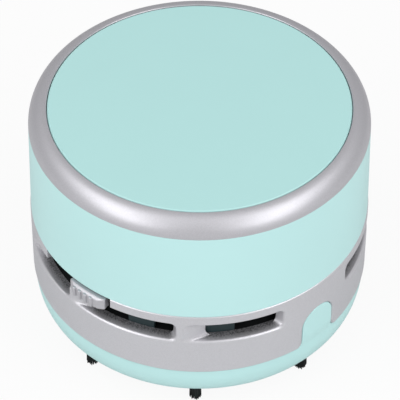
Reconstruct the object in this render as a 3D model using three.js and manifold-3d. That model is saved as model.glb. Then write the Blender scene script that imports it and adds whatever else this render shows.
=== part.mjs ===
// Mini desk vacuum cleaner: a round battery housing with a ring of air vents, standing on a
// lift-off dust tray with bristle tufts.
// Millimetres, +Z up, origin on the table under the centre.
// Azimuths are degrees from -Y towards +X; heights named ...Z are measured from the table.

import * as THREE from 'three';
import { mergeVertices } from 'three/addons/utils/BufferGeometryUtils.js';
import Module from 'manifold-3d';

const wasm = await Module();
wasm.setup();

// Clearances shared by the fits
const seatGap = 0.3;
const runGap = 0.7;
const cutOver = 1;

// Heights of the pieces, stacked from the table up; the shell clears the motor that it holds
const tuftReach = 5.2;
const trayHeight = 9.4;
const bandHeight = 19.15;
const lipHeight = 0.8;
const deckRise = 1;
const deckThickness = 1.7;
const canHeight = 20;
const endCapHeight = 3.2;
const capHeadroom = 1.1;
const shellHeight = deckRise + deckThickness + canHeight + endCapHeight + capHeadroom;
const lidHeight = 4.8;
const undersideZ = tuftReach;
const trayRimZ = undersideZ + trayHeight;
const ledgeZ = trayRimZ + bandHeight;
const shellTopZ = ledgeZ + shellHeight;
const topZ = shellTopZ + lidHeight;

// Outer radii, each stepped in from the band's
const bandRadius = 43;
const trayStep = 0.4;
const shellStep = 0.15;
const shellDraft = 0.45;
const lidRingWidth = 4.6;
const trayRadius = bandRadius - trayStep;
const shellFootRadius = bandRadius - shellStep;
const shellTopRadius = shellFootRadius - shellDraft;
const discRadius = shellTopRadius - lidRingWidth;

// Dust tray
const trayFloor = 1.6;
const trayWall = 1.6;
const trayEdge = { width: 3.4, height: 7.6 };
const spigotHeight = 4.8;
const spigotWall = 1.4;
const spigotJog = 1.4;
const intakeRadius = 9;
const intakeFlare = 2.2;
const chimneyHeight = 10.6;
const chimneyWall = 1.4;
const tongueThickness = 2;
const tongueInset = 0.25;

// Bristle tufts
const tuftCount = 8;
const tuftInset = 4.9;
const tuftRadius = 1.85;
const tuftWaist = 1.5;
const tuftSeatDepth = 3;
const tuftSocketGap = 0.1;
const tuftBossWall = 1.2;

// Vent band
const bandWall = 2.5;
const lipWall = 0.5;
const bandEdge = 0.35;
const sillRise = 11.2;
const windowHeight = 6.1;
const windowCorner = 1.6;
const ventCutLayers = 4;
const rampAngle = 6.1;
const archAzimuth = 44.6;
const arch = { halfWidth: 5.3, straight: 6.15, flare: 2, flareDrop: 0.3 };
const halfTurnAngle = 180;

// One half of the vents, as azimuths of the ends and the end that has the ramp
const halfWindows = [
  { fromAzimuth: -121, toAzimuth: -86.7, ramp: 'to' },
  { fromAzimuth: -78.4, toAzimuth: -48, ramp: 'from' },
  { fromAzimuth: -44.5, toAzimuth: -6.8, ramp: 'from' },
  { fromAzimuth: -3.3, toAzimuth: 29.95, ramp: 'from' },
];

// Slide switch
const slotFromAzimuth = -61.6;
const slotToAzimuth = -30;
const knobAzimuth = -39.6;
const knobHalfAngle = 7.6;
const knobGripHalfAngle = 5.1;
const knobHeight = 3.4;
const knobPlate = 1.9;
const knobGrip = 0.8;
const knobLayers = 4;
const knobRibs = 4;
const knobRibPitch = 1.95;
const knobRibWidth = 1.15;
const knobRibHeight = 0.35;
const knobTravelAngle = 13;
const stemHalfAngle = 3;
const stemHeight = 1.7;
const stemDepth = 1.2;
const stemFit = 0.1;
const guideWall = 1.5;
const guideHeight = 4.6;
const guideMarginAngle = 4;
const carrierDepth = 2.6;
const carrierHalfAngle = 5;
const carrierHeight = 3.2;

// Chassis, fan plate and filter
const chassisWall = 2;
const chassisRing = 3.6;
const ringHeight = 5.9;
const flangeDepth = 5;
const flangeThickness = 1.2;
const plateThickness = 1.3;
const eyeRadius = 13;
const eyeLip = 1.2;
const filterFrameHeight = 2.6;
const filterFrameWidth = 2.3;
const spokeHeight = 0.8;
const spokeWidth = 1.6;
const spokeCount = 6;
const filterHub = 5;
const filterSheet = 0.5;
const postSpans = [
  { azimuth: -82.5, half: 4 },
  { azimuth: -5.1, half: 2.5 },
  { azimuth: 45, half: 6 },
  { azimuth: 97.5, half: 4 },
  { azimuth: 174.9, half: 2.5 },
  { azimuth: 225, half: 6 },
];
const legSpans = [
  { azimuth: -20.5, half: 5 },
  { azimuth: 7.6, half: 5.8 },
  { azimuth: 159.5, half: 5 },
  { azimuth: 187.6, half: 5.8 },
];

// Upper shell and lid
const shellWall = 1.9;
const shellRebate = 0.35;
const legRoot = 3;
const bossCount = 4;
const bossWebHalfAngle = 3;
const bossInset = 5.2;
const bossRadius = 3.4;
const bossHeight = 9;
const discThickness = 1.6;
const discEdge = 0.4;
const discGroove = 0.3;
const lidLedge = 2.5;
const lidLedgeThickness = 1.4;
const skirtDepth = 4;
const skirtWall = 1.4;

// Fan and motor
const bladeCount = 9;
const bladeThickness = 1;
const bladeHeight = 4.9;
const bladeRoot = 10;
const bladeSweepAngle = 38;
const impellerClearance = 3.2;
const backplate = 1.2;
const hubRadius = 4.5;
const hubRise = 1.2;
const shaftRadius = 1;
const shaftFit = 0.05;
const shaftRun = 0.1;
const shaftDepth = 5;
const motorRadius = 11.9;
const canEdge = 1.2;
const motorNose = 3.2;
const motorNoseHeight = 2.4;
const endCapRadius = 10.6;
const terminal = { width: 2.4, thickness: 0.5, height: 4, offset: 6.5 };
const terminalSlack = 0.1;
const motorScrewCircle = 8;

// Battery bay, with two AA cells lying either side of the motor
const cellRadius = 7.2;
const cellLength = 49.4;
const nubRadius = 2.75;
const nubHeight = 1.1;
const cellEdge = 0.6;
const cellRib = 0.2;
const cellAxisRise = 18.6;
const cradleFloor = 1.4;
const cradleEndWall = 1.6;
const cradleEndRise = 4;
const cradleSideWall = 1;
const cradleTopDrop = 2;
const towerWall = 1;
const springRoom = 1.7;
const springWire = 0.25;
const springTurns = 2.5;
const springRadius = 3.6;
const springTipRadius = 2.2;
const springSlack = 0.1;
const contact = { width: 9, height: 8, thickness: 0.4 };
const contactSlack = 0.1;

// Fasteners and wires
const screwRadius = 1.2;
const screwHead = { radius: 1.9, height: 1.2 };
const screwLength = 6;
const screwSlack = 0.25;
const plateScrewCount = 3;
const plateBossRadius = 2.3;
const plateBossHeight = 4.4;
const motorScrewCount = 2;
const wireRadius = 0.6;
const wireHoleRadius = 1.3;
const wireAzimuths = [-60, -42];
const switchStrips = [
  { azimuth: -58.75, half: 4.25 },
  { azimuth: -45, half: 8 },
];
const stripWidth = 2;
const wiperHalfAngle = 3.5;

// Facets
const fineSegments = 60;
const plainSegments = 28;
const smallSegments = 10;
const bladeSteps = 5;
const cellSegments = 20;
const arcSteps = 2;
const lidArcSteps = 3;
const sectorStepAngle = 3;
const springSteps = 24;
const leadSteps = 16;
const wireSides = 6;
const edgeLength = 3;
const outlineArcSteps = 3;
const sliver = 0.008;

// Radii and heights that follow from the sizes above
const bandInner = bandRadius - bandWall;
const tuftCircle = trayRadius - tuftInset;
const cellAxisZ = ledgeZ + cellAxisRise;
const spigotRadius = bandInner - seatGap;
const spigotTopZ = trayRimZ + spigotHeight;
const floorZ = undersideZ + trayFloor;
const sillZ = trayRimZ + sillRise;
const windowTopZ = sillZ + windowHeight;
const chassisRadius = bandInner - seatGap;
const chassisInner = chassisRadius - chassisWall;
const deckZ = ledgeZ + deckRise;
const deckTopZ = deckZ + deckThickness;
const shellInner = shellTopRadius - shellWall;
const deckRadius = shellInner - seatGap;
const bossCircle = deckRadius - bossInset;
const ringFootZ = spigotTopZ + seatGap;
const ringTopZ = ringFootZ + ringHeight;
const ringInner = chassisRadius - chassisRing;
const flangeZ = ringTopZ - flangeThickness;
const flangeInner = ringInner - flangeDepth;
const impellerRadius = flangeInner - impellerClearance;
const plateZ = flangeZ - seatGap - plateThickness;
const plateRadius = ringInner - seatGap;
const plateScrewCircle = flangeInner + seatGap;
const bladeFootZ = ringTopZ + runGap;
const backplateZ = bladeFootZ + bladeHeight;
const hubTopZ = backplateZ + backplate + hubRise;
const discZ = topZ - discThickness;
const skirtRadius = shellInner - seatGap;
const knobTopZ = ledgeZ - seatGap;
const knobFootZ = knobTopZ - knobHeight;
const stemZ = (knobTopZ + knobFootZ) / 2;
const towerInner = motorRadius + seatGap;
const troughRadius = cellRadius + seatGap;
const cellSpacing = towerInner + towerWall + cellRib + troughRadius;
const cradleSide = cellSpacing + troughRadius + cradleSideWall;
const contactReach = cellSpacing + contact.width / 2;
const contactFoot = cellSpacing - contact.width / 2;
const cellEnd = cellLength / 2;
const cradleEnd = cellEnd + springRoom;
const cradleFootZ = cellAxisZ - troughRadius - cradleFloor;
const cradleTopZ = cellAxisZ - cradleTopDrop;
const endWallTopZ = cellAxisZ + cradleEndRise;
const canTopZ = deckTopZ + canHeight;
const shaftTopZ = deckTopZ + shaftDepth;
const carrierOuter = chassisRadius - guideWall - seatGap;
const wireCircle = carrierOuter - seatGap - stripWidth / 2;
const carrierTopZ = stemZ + carrierHeight / 2;
const switchStripZ = deckZ - contact.thickness;

const mint = { color: 0xbde4e2, roughness: 0.35, metalness: 0 };
const silver = { color: 0xbebec4, roughness: 0.38, metalness: 0.6 };
const black = { color: 0x1c1f21, roughness: 0.6, metalness: 0 };
const bristle = { color: 0x191c1e, roughness: 0.8, metalness: 0 };
const steel = { color: 0xb4b8bc, roughness: 0.3, metalness: 1 };
const brass = { color: 0xc9a24a, roughness: 0.35, metalness: 1 };
const gauze = { color: 0xe4e4de, roughness: 0.9, metalness: 0 };
const cellWrap = { color: 0x2d5a86, roughness: 0.4, metalness: 0.2 };
const redLead = { color: 0xb02a22, roughness: 0.5, metalness: 0 };
const blackLead = { color: 0x202224, roughness: 0.5, metalness: 0 };
const whitePart = { color: 0xe6e6e2, roughness: 0.5, metalness: 0 };

const object = new THREE.Group();
const radians = THREE.MathUtils.degToRad;

// A closed geometry as a solid that can be joined and cut
function solidOf(geometry) {
  const bare = geometry.clone();
  bare.deleteAttribute('normal');
  bare.deleteAttribute('uv');
  const merged = mergeVertices(bare);
  const corners = merged.index.array;
  const triangles = [];
  for (let i = 0; i < corners.length; i += 3) {
    const [a, b, c] = corners.slice(i, i + 3);
    if (a !== b && b !== c && c !== a) triangles.push(a, b, c);
  }
  const mesh = new wasm.Mesh({
    numProp: 3,
    vertProperties: new Float32Array(merged.attributes.position.array),
    triVerts: new Uint32Array(triangles),
  });
  return new wasm.Manifold(mesh);
}

// The finished solid as a geometry, without the slivers that joins and cuts leave
function geometryOf(solid) {
  const mesh = solid.simplify(sliver).getMesh();
  const geometry = new THREE.BufferGeometry();
  geometry.setAttribute('position', new THREE.BufferAttribute(mesh.vertProperties, 3));
  geometry.setIndex(new THREE.BufferAttribute(mesh.triVerts, 1));
  geometry.computeVertexNormals();
  return geometry;
}

function joined(solids) {
  return solids.reduce((whole, piece) => whole.add(piece));
}

function cut(solid, cutters) {
  return cutters.reduce((left, cutter) => left.subtract(cutter), solid);
}

function addPart(name, solid, finish) {
  const mesh = new THREE.Mesh(geometryOf(solid), new THREE.MeshStandardMaterial(finish));
  mesh.name = name;
  object.add(mesh);
  return mesh;
}

// A closed profile of radius and height, turned round the Z axis
function turned(profile, segments = fineSegments, steps = arcSteps) {
  const geometry = new THREE.LatheGeometry(profile.getPoints(steps), segments);
  geometry.rotateX(Math.PI / 2);
  return solidOf(geometry);
}

// The same, standing at an azimuth and radius instead of on the axis
function turnedAt(profile, circle, azimuth) {
  const geometry = new THREE.LatheGeometry(profile.getPoints(arcSteps), smallSegments);
  geometry.rotateX(Math.PI / 2);
  geometry.translate(0, -circle, 0);
  geometry.rotateZ(radians(azimuth));
  return solidOf(geometry);
}

// The section of a ring or, with no inner radius, of a disc
function ringProfile(inner, outer, fromZ, toZ) {
  const profile = new THREE.Path();
  profile.moveTo(inner, fromZ);
  profile.lineTo(outer, fromZ);
  profile.lineTo(outer, toZ);
  profile.lineTo(inner, toZ);
  if (inner > 0) profile.closePath();
  return profile;
}

function aroundDegrees(i, count) {
  return (i * 360) / count;
}

// The angle in degrees that a length spans at a radius
function arcDegrees(length, radius) {
  return THREE.MathUtils.radToDeg(length / radius);
}

function ring(inner, outer, fromZ, toZ, segments = fineSegments) {
  return turned(ringProfile(inner, outer, fromZ, toZ), segments);
}

// A round post or hole standing at an azimuth and radius
function post(radius, circle, azimuth, fromZ, toZ) {
  return turnedAt(ringProfile(0, radius, fromZ, toZ), circle, azimuth);
}

// Clear holes for a circle of screws
function screwHoles(count, circle, fromZ, toZ) {
  const holes = [];
  for (let i = 0; i < count; i += 1) {
    holes.push(post(screwRadius + screwSlack, circle, aroundDegrees(i, count), fromZ, toZ));
  }
  return holes;
}

function block(fromX, toX, fromY, toY, fromZ, toZ, azimuth = 0) {
  const geometry = new THREE.BoxGeometry(toX - fromX, toY - fromY, toZ - fromZ);
  geometry.translate((fromX + toX) / 2, (fromY + toY) / 2, (fromZ + toZ) / 2);
  geometry.rotateZ(radians(azimuth));
  return solidOf(geometry);
}

// A piece of ring between two azimuths
function sector(azimuth, half, inner, outer, fromZ, toZ) {
  const start = radians(azimuth - half) - Math.PI / 2;
  const end = radians(azimuth + half) - Math.PI / 2;
  const shape = new THREE.Shape();
  shape.absarc(0, 0, outer, start, end, false);
  shape.absarc(0, 0, inner, end, start, true);
  const curveSegments = Math.max(1, Math.ceil(half / sectorStepAngle));
  const options = { depth: toZ - fromZ, bevelEnabled: false, curveSegments };
  const geometry = new THREE.ExtrudeGeometry(shape, options);
  geometry.translate(0, 0, fromZ);
  return solidOf(geometry);
}

// The points of a closed outline, its long edges divided so that they can bend
function dividedOutline(outline) {
  const corners = outline.getPoints(outlineArcSteps);
  const points = [];
  for (let i = 1; i < corners.length; i += 1) {
    const parts = Math.ceil(corners[i - 1].distanceTo(corners[i]) / edgeLength);
    for (let k = 0; k < parts; k += 1) points.push(corners[i - 1].clone().lerp(corners[i], k / parts));
  }
  return new THREE.Shape(points);
}

// An outline drawn in arc length and height, wrapped round the axis at an azimuth.
// stretch gives a factor on the arc length for each radius.
function wrapped(outline, azimuth, inner, outer, steps = 1, stretch = () => 1) {
  const options = { depth: 1, steps, bevelEnabled: false };
  const geometry = new THREE.ExtrudeGeometry(dividedOutline(outline), options);
  const place = geometry.attributes.position;
  for (let i = 0; i < place.count; i += 1) {
    const radius = inner + (outer - inner) * place.getZ(i);
    const height = place.getY(i);
    const angle = radians(azimuth) + (place.getX(i) * stretch(radius)) / bandRadius;
    place.setXYZ(i, radius * Math.sin(angle), -radius * Math.cos(angle), height);
  }
  return solidOf(geometry);
}

// The outline of one vent, from its square end at zero to its ramp end at -length or +length
function ventOutline(length) {
  const side = Math.sign(length);
  const far = length - side * windowCorner;
  const near = side * windowCorner;
  const low = sillZ + windowCorner;
  const high = windowTopZ - windowCorner;
  const shape = new THREE.Shape();
  shape.moveTo(near, sillZ);
  shape.lineTo(far, sillZ);
  shape.quadraticCurveTo(length, sillZ, length, low);
  shape.lineTo(length, high);
  shape.quadraticCurveTo(length, windowTopZ, far, windowTopZ);
  shape.lineTo(near, windowTopZ);
  shape.quadraticCurveTo(0, windowTopZ, 0, high);
  shape.lineTo(0, low);
  shape.quadraticCurveTo(0, sillZ, near, sillZ);
  return side > 0 ? shape : new THREE.Path(shape.getPoints(outlineArcSteps).reverse());
}

// A vent through the band wall. At its ramp end the outer edge runs out past the inner edge.
function ventCutter(vent, turn) {
  const square = vent.ramp === 'from' ? vent.toAzimuth : vent.fromAzimuth;
  const tip = vent.ramp === 'from' ? vent.fromAzimuth : vent.toAzimuth;
  const side = Math.sign(tip - square);
  const clearSpan = tip - square - side * rampAngle;
  const length = radians(clearSpan) * bandRadius;
  const stretch = (radius) => {
    const depth = Math.max(0, (radius - bandInner) / bandWall);
    return 1 + (depth * rampAngle) / Math.abs(clearSpan);
  };
  const inner = bandInner - bandWall;
  const outer = inner + ventCutLayers * bandWall;
  return wrapped(ventOutline(length), square + turn, inner, outer, ventCutLayers, stretch);
}

// The arch that the tray's tongue fills, flared at its foot; inset makes it smaller all round
function archOutline(inset, footZ) {
  const half = arch.halfWidth - inset;
  const flare = arch.flare;
  const rimZ = trayRimZ - inset;
  const springZ = trayRimZ + arch.straight;
  const shape = new THREE.Shape();
  shape.moveTo(-half - flare, footZ);
  shape.lineTo(half + flare, footZ);
  shape.lineTo(half + flare, rimZ - arch.flareDrop);
  shape.quadraticCurveTo(half, rimZ, half, rimZ + flare);
  shape.lineTo(half, springZ);
  shape.absarc(0, springZ, half, 0, Math.PI, false);
  shape.lineTo(-half, rimZ + flare);
  shape.quadraticCurveTo(-half, rimZ, -half - flare, rimZ - arch.flareDrop);
  shape.lineTo(-half - flare, footZ);
  return shape;
}

function archCutter(azimuth) {
  return wrapped(archOutline(0, trayRimZ - cutOver), azimuth, bandInner - cutOver, bandRadius + bandWall);
}

// Silver band with the vents, the arches for the tongues and the switch slot
function ventBand() {
  const lipInner = bandRadius - lipWall;
  const lipZ = ledgeZ + lipHeight;
  const profile = new THREE.Path();
  profile.moveTo(bandInner, trayRimZ);
  profile.lineTo(bandRadius - bandEdge, trayRimZ);
  profile.lineTo(bandRadius, trayRimZ + bandEdge);
  profile.lineTo(bandRadius, lipZ - bandEdge);
  profile.lineTo(bandRadius - bandEdge / 2, lipZ);
  profile.lineTo(lipInner, lipZ);
  profile.lineTo(lipInner, ledgeZ);
  profile.lineTo(bandInner, ledgeZ);
  profile.closePath();
  const slotCentre = (slotFromAzimuth + slotToAzimuth) / 2;
  const slotHalf = (slotToAzimuth - slotFromAzimuth) / 2;
  const slotFootZ = knobFootZ - seatGap;
  const slotTopZ = lipZ + cutOver;
  const inner = bandInner - cutOver;
  const cutters = [sector(slotCentre, slotHalf, inner, bandRadius + cutOver, slotFootZ, slotTopZ)];
  for (const turn of [0, halfTurnAngle]) {
    cutters.push(archCutter(archAzimuth + turn));
    for (const vent of halfWindows) cutters.push(ventCutter(vent, turn));
  }
  return cut(turned(profile), cutters);
}

// Mint tray: rounded bowl, intake chimney, spigot that enters the band, and tuft sockets
function trayBowl() {
  const wallInner = trayRadius - trayWall;
  const edgeRadius = trayRadius - trayEdge.width;
  const edgeZ = undersideZ + trayEdge.height;
  const spigotInner = spigotRadius - spigotWall;
  const chimneyTopZ = floorZ + chimneyHeight;
  const mouth = intakeRadius + intakeFlare;
  const profile = new THREE.Path();
  profile.moveTo(mouth, undersideZ);
  profile.lineTo(edgeRadius, undersideZ);
  profile.absellipse(edgeRadius, edgeZ, trayEdge.width, trayEdge.height, -Math.PI / 2, 0, false);
  profile.lineTo(trayRadius, trayRimZ);
  profile.lineTo(spigotRadius, trayRimZ);
  profile.lineTo(spigotRadius, spigotTopZ);
  profile.lineTo(spigotInner, spigotTopZ);
  profile.lineTo(spigotInner, trayRimZ);
  profile.lineTo(wallInner, trayRimZ - spigotJog);
  profile.lineTo(wallInner, edgeZ);
  profile.absellipse(edgeRadius, edgeZ, wallInner - edgeRadius, edgeZ - floorZ, 0, -Math.PI / 2, true);
  profile.lineTo(mouth + chimneyWall, floorZ);
  profile.lineTo(intakeRadius + chimneyWall, chimneyTopZ);
  profile.lineTo(intakeRadius, chimneyTopZ);
  profile.closePath();
  return turned(profile);
}

function trayTongue(azimuth) {
  const outer = bandRadius - tongueInset;
  const rootZ = trayRimZ - spigotJog;
  const tipZ = trayRimZ + arch.straight + arch.halfWidth;
  const wall = ring(outer - tongueThickness, outer, rootZ, tipZ);
  const outline = archOutline(tongueInset, rootZ - cutOver);
  return wall.intersect(wrapped(outline, azimuth, bandInner - bandWall, bandRadius + bandWall));
}

function dustTray() {
  const bossTopZ = undersideZ + tuftSeatDepth + tuftBossWall;
  const socketTopZ = undersideZ + tuftSeatDepth;
  const socketRadius = tuftRadius + tuftSocketGap;
  const bosses = [];
  const sockets = [];
  for (let i = 0; i < tuftCount; i += 1) {
    const azimuth = aroundDegrees(i, tuftCount);
    bosses.push(post(socketRadius + tuftBossWall, tuftCircle, azimuth, floorZ - trayFloor / 4, bossTopZ));
    sockets.push(post(socketRadius, tuftCircle, azimuth, undersideZ - cutOver, socketTopZ));
  }
  const tongues = [0, halfTurnAngle].map((turn) => trayTongue(archAzimuth + turn));
  return cut(joined([trayBowl(), ...bosses, ...tongues]), sockets);
}

// A tuft is a plug of bristles, waisted at the floor of the tray and spread at its tips
function tuft(azimuth) {
  const profile = new THREE.Path();
  profile.moveTo(0, 0);
  profile.lineTo(tuftRadius, 0);
  profile.lineTo(tuftWaist, undersideZ);
  profile.lineTo(tuftRadius, undersideZ + tuftSeatDepth / 2);
  profile.lineTo(tuftRadius, undersideZ + tuftSeatDepth - tuftSocketGap);
  profile.lineTo(0, undersideZ + tuftSeatDepth - tuftSocketGap);
  return turnedAt(profile, tuftCircle, azimuth);
}

// Mint upper shell with screw bosses inside and legs that reach down behind the vents
function upperShell() {
  const rebateRadius = bandRadius - lipWall - seatGap;
  const stepZ = ledgeZ + lipHeight + seatGap;
  const profile = new THREE.Path();
  profile.moveTo(shellInner, ledgeZ);
  profile.lineTo(rebateRadius, ledgeZ);
  profile.lineTo(rebateRadius, stepZ - shellRebate);
  profile.lineTo(shellFootRadius, stepZ);
  profile.lineTo(shellTopRadius, shellTopZ);
  profile.lineTo(shellInner, shellTopZ);
  profile.closePath();
  const pieces = [turned(profile)];
  const inWall = shellInner + shellWall / 2;
  for (const leg of legSpans) {
    pieces.push(sector(leg.azimuth, leg.half, chassisInner, chassisRadius, ringTopZ + seatGap, ledgeZ));
    pieces.push(sector(leg.azimuth, leg.half, chassisInner, inWall, ledgeZ, deckTopZ + legRoot));
  }
  for (let i = 0; i < bossCount; i += 1) {
    const azimuth = aroundDegrees(i, bossCount);
    pieces.push(post(bossRadius, bossCircle, azimuth, deckTopZ, deckTopZ + bossHeight));
    pieces.push(sector(azimuth, bossWebHalfAngle, bossCircle, inWall, deckTopZ, deckTopZ + bossHeight));
  }
  const holes = screwHoles(bossCount, bossCircle, deckTopZ - cutOver, deckZ + screwLength + seatGap);
  return cut(joined(pieces), holes);
}

// Silver lid ring: a quarter ellipse outside, a ledge for the disc and a skirt that plugs the shell
function lidRing() {
  const lip = discRadius + discGroove;
  const skirtInner = skirtRadius - skirtWall;
  const ledgeInner = lip - lidLedge;
  const profile = new THREE.Path();
  profile.moveTo(skirtInner, shellTopZ - skirtDepth);
  profile.lineTo(skirtRadius, shellTopZ - skirtDepth);
  profile.lineTo(skirtRadius, shellTopZ);
  profile.lineTo(shellTopRadius, shellTopZ);
  profile.absellipse(lip, shellTopZ, shellTopRadius - lip, lidHeight, 0, Math.PI / 2, false, 0);
  profile.lineTo(lip, discZ);
  profile.lineTo(ledgeInner, discZ);
  profile.lineTo(ledgeInner, discZ - lidLedgeThickness);
  profile.lineTo(skirtInner, discZ - lidLedgeThickness);
  profile.closePath();
  return turned(profile, fineSegments, lidArcSteps);
}

function topDisc() {
  const profile = new THREE.Path();
  profile.moveTo(0, discZ);
  profile.lineTo(discRadius, discZ);
  profile.lineTo(discRadius, topZ - discEdge);
  profile.absarc(discRadius - discEdge, topZ - discEdge, discEdge, 0, Math.PI / 2, false);
  profile.lineTo(0, topZ);
  return turned(profile);
}

// Black chassis: motor deck above, filter ring below, posts between them behind the band's pillars
function chassis() {
  const pieces = [
    ring(0, deckRadius, deckZ, deckTopZ, plainSegments),
    ring(ringInner, chassisRadius, ringFootZ, ringTopZ, plainSegments),
    ring(flangeInner, ringInner + cutOver, flangeZ, ringTopZ, plainSegments),
  ];
  for (const span of postSpans) {
    const footZ = ringTopZ - cutOver;
    pieces.push(sector(span.azimuth, span.half, chassisInner, chassisRadius, footZ, deckZ + cutOver));
  }
  for (let i = 0; i < plateScrewCount; i += 1) {
    pieces.push(post(plateBossRadius, plateScrewCircle, aroundDegrees(i, plateScrewCount), flangeZ,
      ringTopZ + plateBossHeight));
  }
  const holes = [
    ring(0, motorNose + seatGap, deckZ - cutOver, deckTopZ + cutOver, smallSegments),
    ...screwHoles(bossCount, bossCircle, deckZ - cutOver, deckTopZ + cutOver),
    ...screwHoles(motorScrewCount, motorScrewCircle, deckZ - cutOver, deckTopZ + cutOver),
    ...screwHoles(plateScrewCount, plateScrewCircle, flangeZ - cutOver, plateZ + screwLength + seatGap),
  ];
  for (const leg of legSpans) {
    const inner = chassisInner - seatGap;
    const half = leg.half + arcDegrees(seatGap, inner);
    holes.push(sector(leg.azimuth, half, inner, deckRadius + cutOver, deckZ - cutOver, deckTopZ + cutOver));
  }
  for (const azimuth of wireAzimuths) {
    holes.push(post(wireHoleRadius, wireCircle, azimuth, deckZ - cutOver, deckTopZ + cutOver));
  }
  return cut(joined(pieces), holes);
}

// Plate under the fan, with a lipped eye that the air is drawn through
function fanPlate() {
  const profile = new THREE.Path();
  profile.moveTo(eyeRadius, plateZ);
  profile.lineTo(plateRadius, plateZ);
  profile.lineTo(plateRadius, plateZ + plateThickness);
  profile.lineTo(eyeRadius + 2 * eyeLip, plateZ + plateThickness);
  profile.lineTo(eyeRadius + eyeLip, plateZ + plateThickness + eyeLip);
  profile.lineTo(eyeRadius, plateZ + plateThickness + eyeLip);
  profile.closePath();
  const holeTopZ = plateZ + plateThickness + cutOver;
  const holes = screwHoles(plateScrewCount, plateScrewCircle, plateZ - cutOver, holeTopZ);
  return cut(turned(profile, plainSegments), holes);
}

function filterFrame() {
  const outer = ringInner - seatGap;
  const inner = outer - filterFrameWidth;
  const rim = ring(inner, outer, ringFootZ, ringFootZ + filterFrameHeight, plainSegments);
  const hub = ring(filterHub - spokeWidth, filterHub, ringFootZ, ringFootZ + spokeHeight, smallSegments);
  const spokes = [];
  for (let i = 0; i < spokeCount; i += 1) {
    spokes.push(block(filterHub - spokeWidth / 2, inner + spokeWidth / 2, -spokeWidth / 2, spokeWidth / 2,
      ringFootZ, ringFootZ + spokeHeight, aroundDegrees(i, spokeCount)));
  }
  return joined([rim, hub, ...spokes]);
}

function filterGauze() {
  const outer = ringInner - seatGap - filterFrameWidth - seatGap;
  return ring(0, outer, ringFootZ + spokeHeight, ringFootZ + spokeHeight + filterSheet, plainSegments);
}

// Curved black plate behind the switch slot; its slit guides the stem of the knob
function switchGuide() {
  const centre = (slotFromAzimuth + slotToAzimuth) / 2;
  const half = (slotToAzimuth - slotFromAzimuth) / 2 + guideMarginAngle;
  const plate = sector(centre, half, chassisRadius - guideWall, chassisRadius, deckZ - guideHeight, deckZ);
  const slitHalf = stemHalfAngle + knobTravelAngle / 2 + arcDegrees(seatGap, carrierOuter);
  const low = stemZ - stemHeight / 2 - seatGap;
  const high = stemZ + stemHeight / 2 + seatGap;
  const inner = chassisRadius - guideWall - cutOver;
  const middle = knobAzimuth - knobTravelAngle / 2;
  return cut(plate, [sector(middle, slitHalf, inner, chassisRadius + cutOver, low, high)]);
}

// Switch knob: a curved plate with sloping ends, a ribbed grip and a stem through the guide
function switchKnob() {
  const gripOuter = bandRadius + knobGrip;
  const slope = knobHalfAngle - knobGripHalfAngle;
  const plate = sector(knobAzimuth, knobHalfAngle, bandRadius - knobPlate, bandRadius, knobFootZ, knobTopZ);
  const grip = [];
  for (let i = 0; i < knobLayers; i += 1) {
    const outer = bandRadius + (knobGrip * (i + 1)) / knobLayers;
    const half = knobHalfAngle - (slope * (i + 1)) / knobLayers;
    grip.push(sector(knobAzimuth, half, bandRadius - cutOver, outer, knobFootZ, knobTopZ));
  }
  const ribs = [];
  const ribHalf = arcDegrees(knobRibWidth / 2, gripOuter);
  for (let i = 0; i < knobRibs; i += 1) {
    const offset = arcDegrees((i - (knobRibs - 1) / 2) * knobRibPitch, gripOuter);
    ribs.push(sector(knobAzimuth + offset, ribHalf, gripOuter - knobRibHeight, gripOuter + knobRibHeight,
      knobFootZ, knobTopZ));
  }
  const stem = sector(knobAzimuth, stemHalfAngle, carrierOuter - stemDepth, bandRadius - knobPlate / 2,
    stemZ - stemHeight / 2, stemZ + stemHeight / 2);
  return joined([plate, ...grip, ...ribs, stem]);
}

// Carrier pressed on the inner end of the stem, which keeps the knob in its slot
function switchCarrier() {
  const body = sector(knobAzimuth, carrierHalfAngle, carrierOuter - carrierDepth, carrierOuter,
    carrierTopZ - carrierHeight, carrierTopZ);
  const half = stemHalfAngle + arcDegrees(stemFit, carrierOuter);
  const socket = sector(knobAzimuth, half, carrierOuter - stemDepth - stemFit, carrierOuter + cutOver,
    stemZ - stemHeight / 2 - stemFit, stemZ + stemHeight / 2 + stemFit);
  return cut(body, [socket]);
}

// One backward-curved blade, drawn as an arc of constant thickness from the hub side to the rim
function fanBlade(turn) {
  const face = [];
  const back = [];
  for (let i = 0; i <= bladeSteps; i += 1) {
    const share = i / bladeSteps;
    const radius = bladeRoot + (impellerRadius - bladeRoot) * share;
    const angle = radians(turn - bladeSweepAngle * share * share);
    const half = bladeThickness / 2 / radius;
    face.push(new THREE.Vector2(radius * Math.cos(angle - half), radius * Math.sin(angle - half)));
    back.unshift(new THREE.Vector2(radius * Math.cos(angle + half), radius * Math.sin(angle + half)));
  }
  const shape = new THREE.Shape([...face, ...back]);
  const depth = bladeHeight + backplate / 2;
  const geometry = new THREE.ExtrudeGeometry(shape, { depth, bevelEnabled: false });
  geometry.translate(0, 0, bladeFootZ);
  return solidOf(geometry);
}

function impeller() {
  const blades = [];
  for (let i = 0; i < bladeCount; i += 1) blades.push(fanBlade(aroundDegrees(i, bladeCount)));
  const disc = ring(0, impellerRadius, backplateZ, backplateZ + backplate, plainSegments);
  const hub = ring(0, hubRadius, bladeFootZ + bladeHeight / 3, hubTopZ, smallSegments);
  const bore = ring(0, shaftRadius + shaftFit, bladeFootZ, hubTopZ + cutOver, smallSegments);
  return cut(joined([disc, hub, ...blades]), [bore]);
}

// Strips under the deck that the wiper bridges, and the wiper on the carrier
function switchStrip(strip) {
  const outer = carrierOuter - seatGap;
  return sector(strip.azimuth, strip.half, outer - stripWidth, outer, switchStripZ, deckZ);
}

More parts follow.
